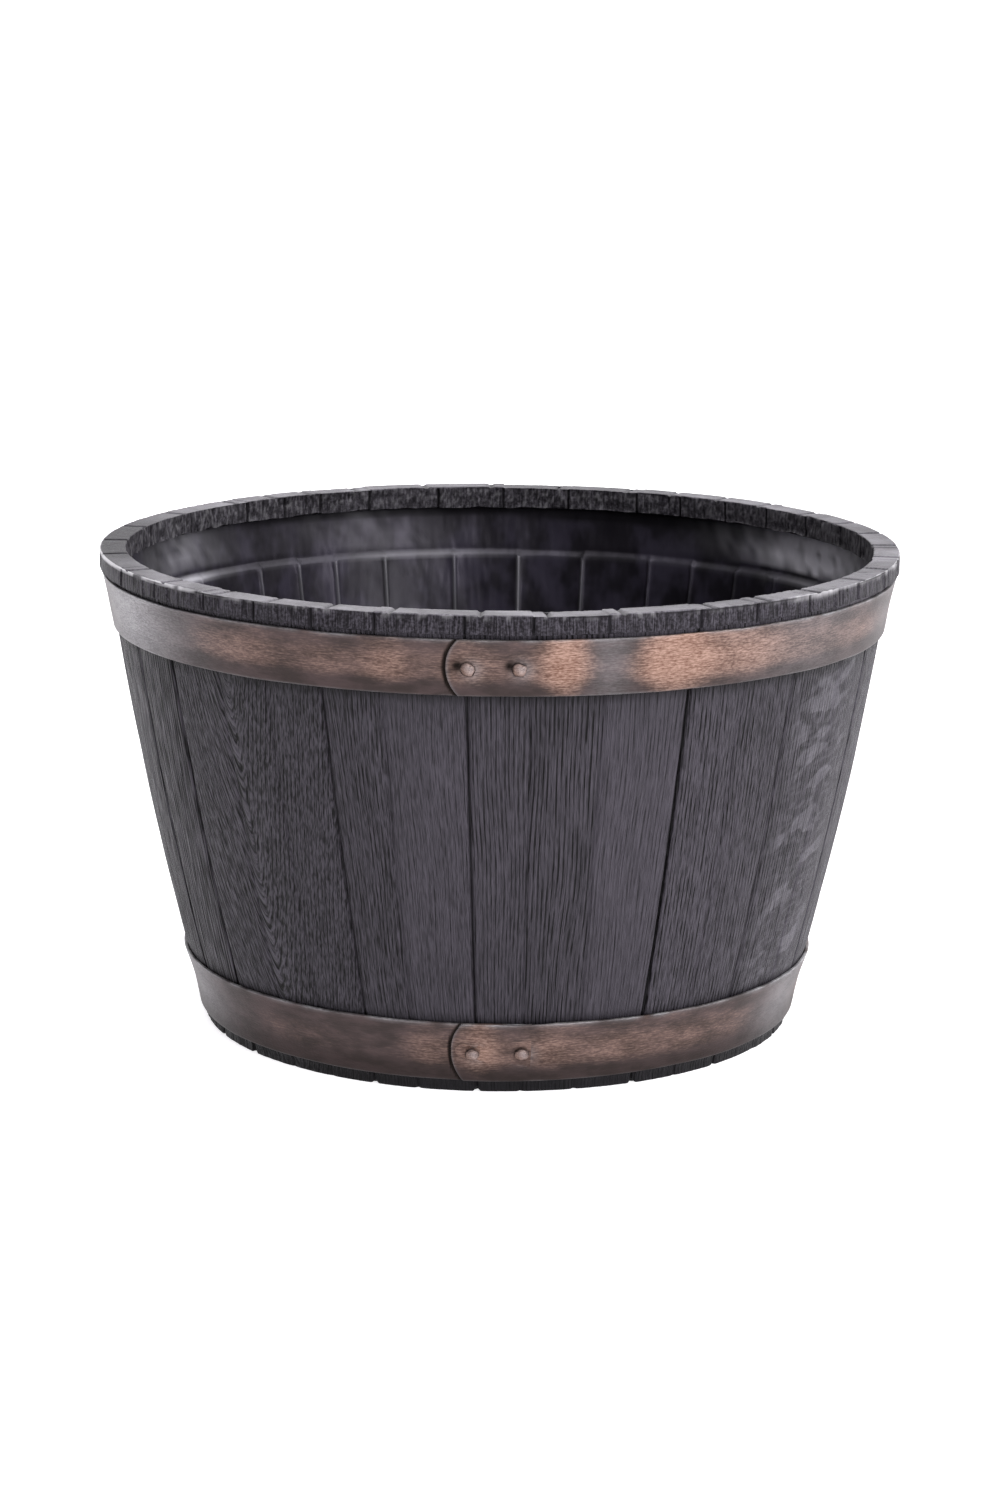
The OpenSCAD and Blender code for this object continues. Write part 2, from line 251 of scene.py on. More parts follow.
def add(tree, kind, settings=None, out=0, **sockets):
    """Adds a node: a socket gets a number, a hex colour or another node's output. Returns output out."""
    node = tree.nodes.new("ShaderNode" + kind)
    for key, value in (settings or {}).items():
        setattr(node, key, value)
    for key, value in sockets.items():
        name = key.replace("_", " ")
        socket = node.inputs[int(name[2:])] if name.startswith("in") else node.inputs[name]
        if isinstance(value, bpy.types.NodeSocket):
            tree.links.new(value, socket)
        else:
            socket.default_value = linear(value) if isinstance(value, str) else value
    return node.outputs[out] if len(node.outputs) else None


def new_material(name, *stored):
    """An empty material, its node tree, and the named numbers that make_piece stored per point."""
    material = bpy.data.materials.new(name)
    material.use_nodes = True
    tree = material.node_tree
    tree.nodes.clear()
    return material, tree, *(add(tree, "Attribute", {"attribute_name": key}, "Fac") for key in stored)


def sum_of(tree, *terms):
    """Adds up (value, factor) pairs with multiply-add nodes."""
    total = 0.0
    for value, factor in terms:
        total = add(tree, "Math", {"operation": "MULTIPLY_ADD"}, in0=value, in1=factor, in2=total)
    return total


def close_material(tree, colour, roughness, height, depth, **constants):
    """Principled surface with a bump whose full height is depth, wired to the output."""
    bump = add(tree, "Bump", Strength=1.0, Distance=depth, Height=height)
    surface = add(tree, "BsdfPrincipled", Base_Color=colour, Roughness=roughness, Normal=bump, **constants)
    add(tree, "OutputMaterial", Surface=surface)


# %% [markdown]
# Every pattern starts as noise whose spots have a real size in millimetres. It is laid out on the
# piece's UV map where it has to follow the grain, or else on the piece's own axes. The pale rays of
# oak cross the grain of two staves at the right, so they use axes that are turned to face them.

# %% Noise at a real size
RAY_SIDE = math.radians(57)       # where on the tub the rays lie
RAY_LEAN = math.radians(14)       # how far they rise to the right


def speckle(tree, source, cell, detail=2.0, rough=0.5):
    """Noise from about 0 to 1 in cells of the given size, on the source "grain", "object" or "ray"."""
    if source == "grain":
        where = add(tree, "UVMap", {"uv_map": "grain"})
    else:
        where = add(tree, "TexCoord", out="Object")
    if source == "ray":
        where = add(tree, "Mapping", Vector=where, Rotation=(0, 0, -RAY_SIDE))
        where = add(tree, "Mapping", Vector=where, Rotation=(0, RAY_LEAN, 0))
    where = add(tree, "Mapping", Vector=where, Scale=[1 / size for size in cell])
    return add(tree, "TexNoise", Vector=where, Scale=1.0, Detail=detail, Roughness=rough)


# %% [markdown]
# ## The stage
# The photograph was taken with a long lens from a little above the rim, so the camera comes first
# and everything else is judged through it. It stands straight in front of the laps. The picture
# leans by half a degree, and the camera is rolled to match.

# %% Camera
CAMERA_Y, CAMERA_Z = -2.2472, 0.6741
CAMERA_PITCH = 12.73       # degrees below the horizon
CAMERA_YAW = -0.03         # a trace to the right
CAMERA_ROLL = 0.47
FOCAL_MM = 87.0            # on the long side of the frame
FRAME_MM = 36.0

lens = bpy.data.cameras.new("lens")
lens.lens = FOCAL_MM
lens.sensor_fit = "VERTICAL"
lens.sensor_height = FRAME_MM
camera = bpy.data.objects.new("camera", lens)
aim = Matrix.Rotation(math.radians(CAMERA_YAW), 4, "Z")
tilt = Matrix.Rotation(math.radians(90 - CAMERA_PITCH), 4, "X")
roll = Matrix.Rotation(math.radians(CAMERA_ROLL), 4, "Z")
camera.matrix_world = Matrix.Translation((0, CAMERA_Y, CAMERA_Z)) @ aim @ tilt @ roll
bpy.context.scene.collection.objects.link(camera)
bpy.context.scene.camera = camera
print("camera at", tuple(round(v, 3) for v in camera.location), "lens", lens.lens, "mm")

# %% [markdown]
# The floor is a sheet of white studio paper that reaches the horizon. It glows a little by itself,
# which keeps it white in the picture without a lamp so strong that it would grey the plastic.

# %% Floor and world
FLOOR_HALF = 90.0
PAPER_GLOW = 0.8
WORLD_FILL = 0.20

floor_mesh = bpy.data.meshes.new("studio_floor")
floor_corners = [(x * FLOOR_HALF, y * FLOOR_HALF, 0) for x, y in ((-1, -1), (1, -1), (1, 1), (-1, 1))]
floor_mesh.from_pydata(floor_corners, [], [(0, 1, 2, 3)])
studio_floor = bpy.data.objects.new("studio_floor", floor_mesh)
bpy.context.scene.collection.objects.link(studio_floor)
paper, tree = new_material("white_studio_paper")
surface = add(tree, "BsdfPrincipled", Base_Color="#cfced0", Roughness=0.9,
              Emission_Color="#fdfcfe", Emission_Strength=PAPER_GLOW)
add(tree, "OutputMaterial", Surface=surface)
floor_mesh.materials.append(paper)

world = bpy.data.worlds.new("white_studio")
world.use_nodes = True
world.node_tree.nodes["Background"].inputs["Color"].default_value = (1.0, 0.98, 1.02, 1.0)
world.node_tree.nodes["Background"].inputs["Strength"].default_value = WORLD_FILL
bpy.context.scene.world = world
bpy.context.scene.view_settings.view_transform = "Standard"
print("floor:", 2 * FLOOR_HALF, "m square")

# %% [markdown]
# Each side of the studio can be found in the photograph. A white backdrop curves round behind the
# planter, and the top of the rim mirrors it at a grazing angle. A softbox at each side behind it
# draws the glow on the inner wall and on the ends of the hoops. The strongest softbox stands at the
# front right, and nothing at the front left, so the staves there stay dark. A wide soft sun
# overhead lights the rest from a little to the right.

# %% Lights
def add_light(name, kind, place, target, energy):
    """A lamp at place that faces target and that the camera doesn't see."""
    light = bpy.data.lights.new(name, kind)
    light.energy = energy
    holder = bpy.data.objects.new(name, light)
    away = Vector(place) - Vector(target)
    holder.matrix_world = Matrix.Translation(place) @ away.to_track_quat("Z", "Y").to_matrix().to_4x4()
    holder.visible_camera = False
    bpy.context.scene.collection.objects.link(holder)
    return light


def add_panel(name, place, target, width, height, glow):
    """A rectangular softbox; its watts are glow (radiance) times pi times its area."""
    light = add_light(name, "AREA", place, target, glow * math.pi * width * height)
    light.shape = "RECTANGLE"
    light.size, light.size_y = width, height


sun = add_light("overhead_sun", "SUN", (0.8, -0.1, 2.0), (0, 0, 0), 3.6)
sun.angle = math.radians(95)
add_panel("backdrop", (0, 2.6, 0.45), (0, 0, 0.45), 6.0, 0.9, 0.7)
add_panel("backdrop_top", (0, 2.4, 1.6), (0, 0, 0.3), 3.6, 0.9, 4.0)
add_panel("left_softbox", (-1.9, 1.6, 0.8), (0, 0, 0.3), 1.3, 1.1, 1.7)
add_panel("right_softbox", (2.3, 1.0, 0.8), (0, 0, 0.3), 2.0, 1.1, 1.6)
add_panel("key_softbox", (1.5, -2.0, 0.95), (0, 0, 0.15), 1.2, 1.2, 7.5)

# %% [markdown]
# ## Staves: where the joints are
# A cooper splits staves of uneven width, and the mould copies that. The widths are listed in
# degrees, from the joint just left of the front and on round to the right, as in the CAD model.
# Some joints are cut deep and some are nearly filled, and a few lean a degree or two on their way
# down, so each joint also has its own depth and its own lean.

# %% Joints
STAVE_WIDTHS = np.array([9, 10, 13, 9, 10, 12, 10, 10, 10, 11, 10, 11, 10, 9, 9, 8, 12,
                         11, 11, 12, 9, 7, 8, 14, 14, 13, 13, 14, 11, 11, 9, 9, 9, 12])
FIRST_JOINT = -4.5
STAVES = len(STAVE_WIDTHS)
JOINT_DEPTH = MM * np.array([1.5, 0.5, 0.6, 2.1, 0.3, 0.8, 0.15, 2.0, 1.3, 0.9, 1.7, 0.6, 1.9, 1.0, 0.5,
                             1.6, 2.0, 0.7, 1.8, 0.5, 1.4, 2.0, 0.8, 1.1, 2.0, 1.2, 0.6, 1.5, 1.1, 2.1,
                             0.3, 0.25, 1.3, 0.6])
FULL_JOINT = 1.6 * MM                  # a joint of this depth is fully dark and has a full nick below
JOINT_LEAN = np.zeros(STAVES)          # degrees that a joint moves towards +X on its way down
JOINT_LEAN[[0, 3, 4, 5]] = 1.1, -1.5, -1.3, -1.2
JOINT_LEAN[29:] = 2.0, 2.4, 2.6, 2.8, 2.2

joint_deg = FIRST_JOINT + np.cumsum(STAVE_WIDTHS) - STAVE_WIDTHS
print(STAVES, "staves, first and last joint at", joint_deg[[0, -1]], "degrees")

# %% [markdown]
# No two staves look alike. Each one gets a step inwards, a tone, a depth for its furrows and a
# strength for its short dashes from a random generator with a fixed seed. The staves that face the
# camera are then set one by one, as the photograph shows them.

# %% What sets the staves apart
FACING = [28, 29, 30, 31, 32, 33, 0, 1, 2, 3, 4]       # from the left to the right of the front

rng = np.random.default_rng(7)
stave_step = -rng.uniform(0, 0.4, STAVES) * MM         # how far each stave stands in
stave_tone = rng.uniform(0.0, 1.0, STAVES)             # how light it is
furrow_depth = rng.uniform(0.4, 1.0, STAVES)           # how deep its furrows are cut
tick_depth = rng.uniform(0.5, 0.9, STAVES)             # how strong its short dashes are
tick_scale = np.ones(STAVES)                           # 2 would halve the length of the dashes

stave_tone[FACING] = 0.3, 0.1, 0.0, 0.1, 0.2, 0.7, 0.5, 0.3, 0.9, 0.9, 0.6
stave_tone[8] = 0.0
furrow_depth[FACING] = 1.3, 0.7, 0.7, 0.6, 0.6, 0.35, 0.6, 0.8, 0.45, 0.8, 0.7
furrow_depth[[27, 7]] = 1.3, 1.0
furrow_depth[[8, 12, 16, 19, 24, 26]] = 0.45
tick_depth[FACING] = 2.0, 1.3, 1.1, 1.0, 0.8, 0.6, 0.5, 0.4, 0.4, 0.9, 0.9
tick_depth[27] = 2.0
tick_scale[29:32] = 1.4
tick_scale[26:29] = 0.4
print("tones of the facing staves:", stave_tone[FACING])

# %% [markdown]
# The tub's points stand in columns, the same number on every stave. They crowd towards the joints,
# because a groove needs them and the flat of a stave doesn't. For each column the arrays below hold
# its stave, its angle and its distances to the joints on both sides.

# %% Columns of points
MID_R = 225 * MM                                       # where distances across a stave are measured
COLUMNS = 28                                           # columns per stave
JOINT_STEPS = np.array([0, 0.5, 1.0, 1.6, 2.4, 3.4]) * MM

width = np.radians(STAVE_WIDTHS) * MID_R
even = np.linspace(0, 1, COLUMNS - 2 * len(JOINT_STEPS) + 3)[1:-1]
flat = JOINT_STEPS[-1] + even * (width[:, None] - 2 * JOINT_STEPS[-1])
to_joint = width[:, None] - JOINT_STEPS[:0:-1]
across = np.concatenate([np.tile(JOINT_STEPS, (STAVES, 1)), flat, to_joint], axis=1)
stave = np.repeat(np.arange(STAVES), COLUMNS)
before, after = (stave - 1) % STAVES, (stave + 1) % STAVES
from_left = across.ravel()
from_right = width[stave] - from_left
to_next = np.diff(np.append(across, width[:, None], axis=1), axis=1).ravel()
column_deg = joint_deg[stave] + np.degrees(from_left / MID_R)
share = from_left / width[stave]
column_lean = JOINT_LEAN[stave] * (1 - share) + JOINT_LEAN[after] * share


def near_joint(reach):
    """1 at a joint and 0 from the given distance on, for a column's left and right joint."""
    return 1 - ramp(0, reach, from_left), 1 - ramp(0, reach, from_right)


def stepped(per_stave):
    """A stave's own number, which goes halfway to its neighbour's within 1.2 mm of a joint."""
    own = per_stave[stave]
    left, right = near_joint(1.2 * MM)
    return own + (per_stave[before] - own) * left / 2 + (per_stave[after] - own) * right / 2


print(len(column_deg), "columns")

# %% [markdown]
# ## Staves: the grain as a distance
# A stave is a plank cut from a log, and its grain lines are growth rings. Their shape needs no
# drawing: every point of the plank has a distance to the heart of the log, and a ring is where
# that distance is constant. A heart far to one side gives straight close lines. A heart below the
# middle of the plank, slightly tilted, gives the flame shapes of flat-sawn wood. The photograph's
# flames come to a point, so the distance is measured with a power of 1.4, where 2 would draw round
# arcs. It is stored as the U of the UV map, and V runs along the stave, so that streaks and pores
# in the material follow the rings by themselves.

# %% Ring distance
HEART_FAR = 260 * MM
HEART_DEEP = 60 * MM
FLAME_POWER = 1.4
FLAME_Z = 100 * MM         # the height at which a heart has the depth listed for it
RING_SWAY = 1.6 * MM       # how far slow noise bends the rings
# hearts of the staves with flames: sideways place and depth in mm, and tilt; 29 to 31 share one
FLAMES = {29: (49, 34, -0.17), 30: (6, 34, -0.17), 31: (-29, 34, -0.17),
          8: (18, 40, 0.20), 12: (24, 40, -0.20), 16: (22, 38, 0.18),
          19: (20, 42, 0.20), 24: (30, 40, -0.20), 26: (24, 42, 0.22)}

heart_x = np.where(rng.uniform(size=STAVES) < 0.5, -HEART_FAR, HEART_FAR)
heart_deep = np.full(STAVES, HEART_DEEP)
heart_tilt = rng.uniform(-0.05, 0.05, STAVES)
for number, (x_mm, deep_mm, tilt_share) in FLAMES.items():
    heart_x[number], heart_deep[number], heart_tilt[number] = x_mm * MM, deep_mm * MM, tilt_share


def ring_distance(number, x, z):
    """Distance to the heart, (|x - heart_x|^p + |deep + tilt * z|^p)^(1/p), bent by slow noise."""
    sideways = np.abs(x - heart_x[number])
    deep = np.abs(heart_deep[number] + heart_tilt[number] * (z - FLAME_Z))
    plain = (sideways ** FLAME_POWER + deep ** FLAME_POWER) ** (1 / FLAME_POWER)
    return plain + RING_SWAY * noise(x / (24 * MM) + 7 * number, z / (70 * MM) + 3 * number, 11)


def grain_uv(number, x, z):
    """U = ring distance, V = (z + x) * tick_scale, each shifted by stave so that no two match."""
    u = ring_distance(number, x, z) + 0.37 * number
    v = (z + x) * tick_scale[number] + 0.61 * number
    return np.stack([u, v], axis=-1)


across_plank = np.linspace(0, 0.05, 9)
print("rings across a straight stave:", round(float(np.ptp(ring_distance(2, across_plank, 0.15))), 4), "m")

# %% [markdown]
# ## Tub: the material outside
# The tub is moulded polyethylene with an embossed grain. It is charcoal with a violet cast, half
# matt on the ridges and duller in the pores. Its furrows are a sine of the ring distance, one every
# 2.5 mm. Slow noise bends them, and other noise breaks them off along their length. Over them lie
# short dashes where the pores of oak would be, fine threads, and slow patches of light and dark.
# Oak also has rays, pale bands that cross the grain. Two staves at the right show them as blotches
# and as the small scales that they break up into.

# %% Embossed stave plastic
RING_PITCH = 2.5 * MM
RING_WANDER = 2.6 * MM


def stave_plastic():
    """Polyethylene moulded in oak grain, so pores look near black and ridges a satin violet grey."""
    material, tree, furrow, dash, tone, oak, groove = new_material(
        "moulded_stave_polyethylene", "furrow", "ticks", "tone", "fleck", "groove")
    rings = add(tree, "SeparateXYZ", Vector=add(tree, "UVMap", {"uv_map": "grain"}))
    wander = speckle(tree, "grain", (12 * MM, 110 * MM, 1))
    phase = sum_of(tree, (wander, RING_WANDER), (rings, 1.0))
    wave = add(tree, "Math", {"operation": "SINE"}, in0=sum_of(tree, (phase, 2 * math.pi / RING_PITCH)))
    ticks = speckle(tree, "grain", (0.7 * MM, 9 * MM, 1), 1.0)
    breaks = speckle(tree, "grain", (1.7 * MM, 26 * MM, 1), 1.0)
    threads = speckle(tree, "grain", (0.6 * MM, 45 * MM, 1), 2.0, 0.6)
    patches = speckle(tree, "grain", (16 * MM, 90 * MM, 1))
    blotches = speckle(tree, "ray", (26 * MM, 1, 12 * MM), 1.0)
    scales = speckle(tree, "ray", (9 * MM, 1, 3.4 * MM), 1.0)

    cut = add(tree, "MapRange", SMOOTH, in0=wave, in1=0.1, in2=0.95)
    kept = add(tree, "MapRange", SMOOTH, in0=breaks, in1=0.42, in2=0.56, in3=0.25)
    crack = add(tree, "Math", TIMES, in0=add(tree, "Math", TIMES, in0=cut, in1=kept), in1=furrow)
    tick = add(tree, "MapRange", SMOOTH, in0=ticks, in1=0.38, in2=0.60, in3=-0.5, in4=0.5)
    tick = add(tree, "Math", TIMES, in0=tick, in1=dash)
    thread = add(tree, "MapRange", SMOOTH, in0=threads, in1=0.34, in2=0.66, in3=-0.5, in4=0.5)
    ray_blotch = add(tree, "MapRange", SMOOTH, in0=blotches, in1=0.54, in2=0.60)
    ray_scale = add(tree, "MapRange", SMOOTH, in0=scales, in1=0.48, in2=0.60)
    ray = add(tree, "Math", TIMES, in0=sum_of(tree, (ray_blotch, 0.78), (ray_scale, 0.38)), in1=oak)

    relief = sum_of(tree, (crack, -0.85), (tick, 0.60), (thread, 0.50), (patches, 0.30), (tone, 0.28))
    light = add(tree, "MapRange", SMOOTH, in0=relief, in1=-0.60, in2=0.80)
    colour = add(tree, "Mix", COLOURS, 2, in0=light, in6="#040304", in7="#46424a")
    on_ridge = add(tree, "MapRange", SMOOTH, in0=relief, in1=-0.5, in2=0.2, in3=0.4)
    pale = add(tree, "Math", TIMES, in0=ray, in1=on_ridge)
    # groove paints the joints dark, and paints shade below the upper hoop, above the lower hoop and on the
    # foot
    for mask, paint in ((pale, "#56535a"), (groove, "#050406")):
        colour = add(tree, "Mix", COLOURS, 2, in0=mask, in6=colour, in7=paint)
    roughness = sum_of(tree, (tick, -0.10), (crack, 0.15), (ray, -0.06), (0.50, 1.0))
    height = sum_of(tree, (crack, -0.7), (tick, 0.35), (thread, 0.25), (ray, 0.2))
    close_material(tree, colour, roughness, height, 1.1 * MM, IOR=1.5, Specular_IOR_Level=0.15)
    return material


outside_plastic = stave_plastic()
print("tub material outside:", outside_plastic.name, len(outside_plastic.node_tree.nodes), "nodes")

# %% [markdown]
# ## Tub: the material inside
# Inside, the mould was polished, so the same plastic is smoother and glossier. It reflects the
# studio in slow, watery shapes. A coarse gentle bump gives those, and the roughness wanders a
# little. Painted highlights make the edges of ledge and ribs pale, painted light brightens patches
# above the ledge, and painted shade blackens the band under the rim's lip, where it is also matt.

# %% Smooth inner plastic
def inner_plastic():
    """Polyethylene from a polished mould: half gloss, with slow waves and a faint violet sheen."""
    material, tree, groove, ridge = new_material("smooth_inner_polyethylene", "groove", "ridge")
    waves = speckle(tree, "object", (17 * MM, 17 * MM, 50 * MM))
    bloom = speckle(tree, "object", (30 * MM, 30 * MM, 45 * MM), 3.0, 0.6)
    cloud = add(tree, "MapRange", SMOOTH, in0=bloom, in1=0.40, in2=0.62)
    colour = add(tree, "Mix", COLOURS, 2, in0=cloud, in6="#09070c", in7="#2b2833")
    # painted shade under the lip is near black, and painted highlights and painted light are pale
    for mask, paint in ((groove, "#050406"), (ridge, "#d4d2da")):
        colour = add(tree, "Mix", COLOURS, 2, in0=mask, in6=colour, in7=paint)
    gloss = add(tree, "MapRange", SMOOTH, in0=bloom, in1=0.40, in2=0.66, in3=0.46, in4=0.34)
    roughness = sum_of(tree, (gloss, 1.0), (groove, 0.4))
    close_material(tree, colour, roughness, waves, 2.2 * MM, IOR=1.5, Specular_IOR_Level=0.36,
                   Specular_Tint="#ebe3f6")
    return material


inside_plastic = inner_plastic()
print("tub material inside:", inside_plastic.name, len(inside_plastic.node_tree.nodes), "nodes")

# %% [markdown]
# ## Tub: the outside surface
# The tub could be carved from a solid with booleans, but a surface of rows and columns is simpler
# and keeps its points where the detail is. Each row is a height and a radius for every column. The
# radius starts from the wall's formula. Then each stave swells a little between the hoops and
# stands in by its own step, its edges are eased, the joint's groove is taken away, and the grain
# leaves ridges a fifth of a millimetre high.

# %% Radius of the outside
GROOVE_REACH = 1.9 * MM
EASE_REACH = 5 * MM
EASE_DEPTH = 0.35 * MM
RIDGE_H = 0.22 * MM
SWELL = 1.0 * MM

groove_left, groove_right = near_joint(GROOVE_REACH)
ease_left, ease_right = near_joint(EASE_REACH)
joint_cut = JOINT_DEPTH[stave] * groove_left + JOINT_DEPTH[after] * groove_right
column_step = stepped(stave_step)


def outer_r(z):
    """Wall radius + step + swell * sqrt(sin) + the grain's ridges - eased edges - joint grooves."""
    # in this function groove is only the depth of the joint's cut
    groove = joint_cut * (1 + 0.35 * ring_noise(column_deg, 120, z / (22 * MM), 21))
    ease = EASE_DEPTH * (ease_left + ease_right)
    grain = noise(ring_distance(stave, from_left, z) / (2.6 * MM) + 31 * stave, z / (90 * MM), 22)
    ridges = RIDGE_H * grain * (1 - groove_left - groove_right)
    between_hoops = np.clip((z - LOWER_TOP) / (UPPER_LOW - LOWER_TOP), 0, 1)
    uneven = 1.0 + 0.25 * ring_noise(column_deg, 30, z / (80 * MM), 23)
    swell = SWELL * np.sin(np.pi * between_hoops) ** 0.5 * uneven
    return wall_r(z) + column_step + swell + ridges - ease - groove


print("deepest joint:", round(float(joint_cut.max() / MM), 2), "mm")

# %% [markdown]
# The rows stand close where something shows. Under the hoops and the rim a few rows are enough. The
# foot has a nick under each joint. The deeper the joint, the higher its nick.

# %% Rows of the outside and the foot
EDGE_ROUND = 0.6 * MM
FLOOR_RISE = 8 * MM
NICK_H = 2.5 * MM
NICK_REACH = 3.4 * MM


def outside_rows():
    """Heights and radii from the tub's top edge down to its foot, as two (rows, columns) arrays."""
    hidden_neck = np.array([EDGE_TOP - EDGE_ROUND, 292 * MM, 288.5 * MM, UPPER_TOP + 0.4 * MM])
    under_upper = np.linspace(UPPER_TOP - 2 * MM, UPPER_LOW + 3 * MM, 4)
    body = np.linspace(UPPER_LOW, LOWER_TOP, 34)
    under_lower = np.linspace(LOWER_TOP - 3 * MM, LOWER_LOW + 3 * MM, 4)
    foot = np.array([LOWER_LOW, 5.5 * MM, 4.2 * MM])
    z = np.concatenate([hidden_neck, under_upper, body, under_lower, foot])[:, None]
    r = np.where(z > UPPER_TOP, np.minimum(wall_r(z), NECK_R), outer_r(z))
    return z + 0 * r, r


def foot_rows():
    """The foot: a nick under each joint, a small round, the ground contact and the inner wall."""
    left, right = near_joint(NICK_REACH)
    cut_left, cut_right = (np.clip(JOINT_DEPTH[side] / FULL_JOINT, 0.1, 1) ** 2 for side in (stave, after))
    lift = NICK_H * np.maximum(left * cut_left, right * cut_right)
    outer = outer_r(np.full((1, 1), 3 * MM))[0]
    ground = 0 * lift
    inner = wall_r(0.0) - WALL_T + ground
    z = [lift + EDGE_ROUND, lift, lift, ground, ground, ground + EDGE_ROUND, ground + FLOOR_RISE]
    r = [outer, outer - 0.5 * MM, outer - 2.6 * MM, outer - 3.4 * MM, inner + EDGE_ROUND, inner, inner]
    return np.stack(z), np.stack(r)


out_z, out_r = outside_rows()
foot_z, foot_r = foot_rows()
print("outside rows:", out_z.shape, "foot rows:", foot_z.shape)

# %% [markdown]
# ## Tub: the inside surface
# The inside follows the staves too, but softly: a rib behind each joint, which flares where it
# meets the ledge. The ledge sits behind the upper hoop. Each stave's length of ledge is a little
# higher or lower than its neighbour, as the mould left it, and one slot is cut across it. The ribs
# stand a few degrees round from the joints outside, and above the ledge that turn dies away.

# %% Rows of the inside
FLOOR_TOP = 12 * MM
FLOOR_FILLET = 12 * MM
LEDGE_LOW, LEDGE_TOP = 252 * MM, 256.5 * MM
LEDGE_MID = 254 * MM
SLOT_DEG, SLOT_Z, SLOT_DEPTH = 131.0, 253 * MM, 1.6 * MM
INNER_TURN = -2.7          # degrees from the joints outside to the ribs inside
RIB_PROUD = 1.5 * MM
RIB_HALF_W = 1.15 * MM
INNER_R = NECK_R - NECK_T

inner_deg = column_deg + INNER_TURN
ledge_shift = rng.uniform(-0.9, 0.9, STAVES) * MM
column_ledge = stepped(ledge_shift)


def inside_rows():
    """The floor's corner, wall, ledge and neck as one profile, less the ribs, plus hollows and waves."""
    turn = np.radians(np.linspace(-90, 0, 6))
    corner_z = FLOOR_TOP + FLOOR_FILLET + FLOOR_FILLET * np.sin(turn)
    corner = wall_r(FLOOR_TOP + FLOOR_FILLET) - WALL_T - FLOOR_FILLET + FLOOR_FILLET * np.cos(turn)
    wall_z = np.append(np.linspace(36, 216, 8), [228, 238, 244, 247, 249.5]) * MM
    slope = np.array([0, 0.12, 0.35, 0.65, 0.88, 1, 1.25])
    ledge_z = LEDGE_LOW + slope * (LEDGE_TOP - LEDGE_LOW)
    ledge_in, ledge_out = wall_r(LEDGE_LOW) - WALL_T, wall_r(LEDGE_TOP) - NECK_T
    ledge = ledge_in + (ledge_out - ledge_in) * ramp(0, 1, slope)
    neck_z = np.array([261, 268, 274, 278, 281.5, 288]) * MM
    neck = np.interp(neck_z, [LEDGE_TOP, UPPER_TOP], [ledge_out, INNER_R])
    z = np.concatenate([corner_z, wall_z, ledge_z, neck_z])[:, None]
    r = np.concatenate([corner, wall_r(wall_z) - WALL_T, ledge, neck])[:, None]

    flare = 1 + 0.9 * fade(np.maximum(LEDGE_LOW - z, 0), 3 * MM)
    ribs = bell(from_left, RIB_HALF_W * flare) + bell(from_right, RIB_HALF_W * flare)
    above_floor = ramp(FLOOR_TOP, 40 * MM, z)
    below_ledge = above_floor * (1 - ramp(LEDGE_LOW - 1 * MM, LEDGE_TOP, z))
    hollow = 0.5 * MM * np.sin(np.pi * share) * below_ledge
    waves = 0.35 * MM * ring_noise(column_deg, 90, z / (30 * MM), 31) * above_floor
    slot = SLOT_DEPTH * bell(inner_deg - SLOT_DEG, 0.7) * bell(z - SLOT_Z, 4 * MM)
    shift = column_ledge * bell(z - LEDGE_MID, 9 * MM)
    return z + shift, r + hollow + waves + slot - RIB_PROUD * ribs * below_ledge


in_z, in_r = inside_rows()
edge_r = np.array([INNER_R, INNER_R + EDGE_ROUND, NECK_R - EDGE_ROUND])[:, None] + 0 * column_deg
edge_z = np.array([EDGE_TOP - EDGE_ROUND, EDGE_TOP, EDGE_TOP])[:, None] + 0 * column_deg
print("inside rows:", in_z.shape, "top edge rows:", edge_z.shape)

# %% [markdown]
# ## Tub: the floor and its drain holes
# The floor is a disc with six round holes, which a plain polar grid can't hold. Each hole gets its
# own sector of the disc instead. From the centre of a hole, rays run to every point on the border
# of its sector, and rows of points between the hole's edge and the border fill the sector without
# a gap. That works because a sector is convex, so every ray meets its border once.

# %% Floor sectors
DRAIN_COUNT, DRAIN_D, DRAIN_PCD = 6, 12 * MM, 220 * MM
SECTOR_DEG = 360 / DRAIN_COUNT
SIDE_STEPS = 9                                         # points along a sector's straight side


def floor_sector(border_deg, border_r, number):
    """Points (rings, n, 2) from a drain hole's edge out to the sector's border, the border closed."""
    arc = around(border_r, border_deg, 0.0)[:, :2]
    side = np.linspace(1, 0, SIDE_STEPS)[1:, None]
    back = np.linspace(0, 1, SIDE_STEPS)[1:-1, None]
    border = np.concatenate([arc, arc[-1:] * side, arc[:1] * back])
    centre = around(DRAIN_PCD / 2, (number + 0.5) * SECTOR_DEG, 0.0)[:2]
    ray = border - centre
    hole = centre + ray / np.linalg.norm(ray, axis=1, keepdims=True) * DRAIN_D / 2
    share_out = np.array([0, 0.04, 0.15, 0.4, 0.7, 1])[:, None, None]
    return hole + (border - hole) * share_out


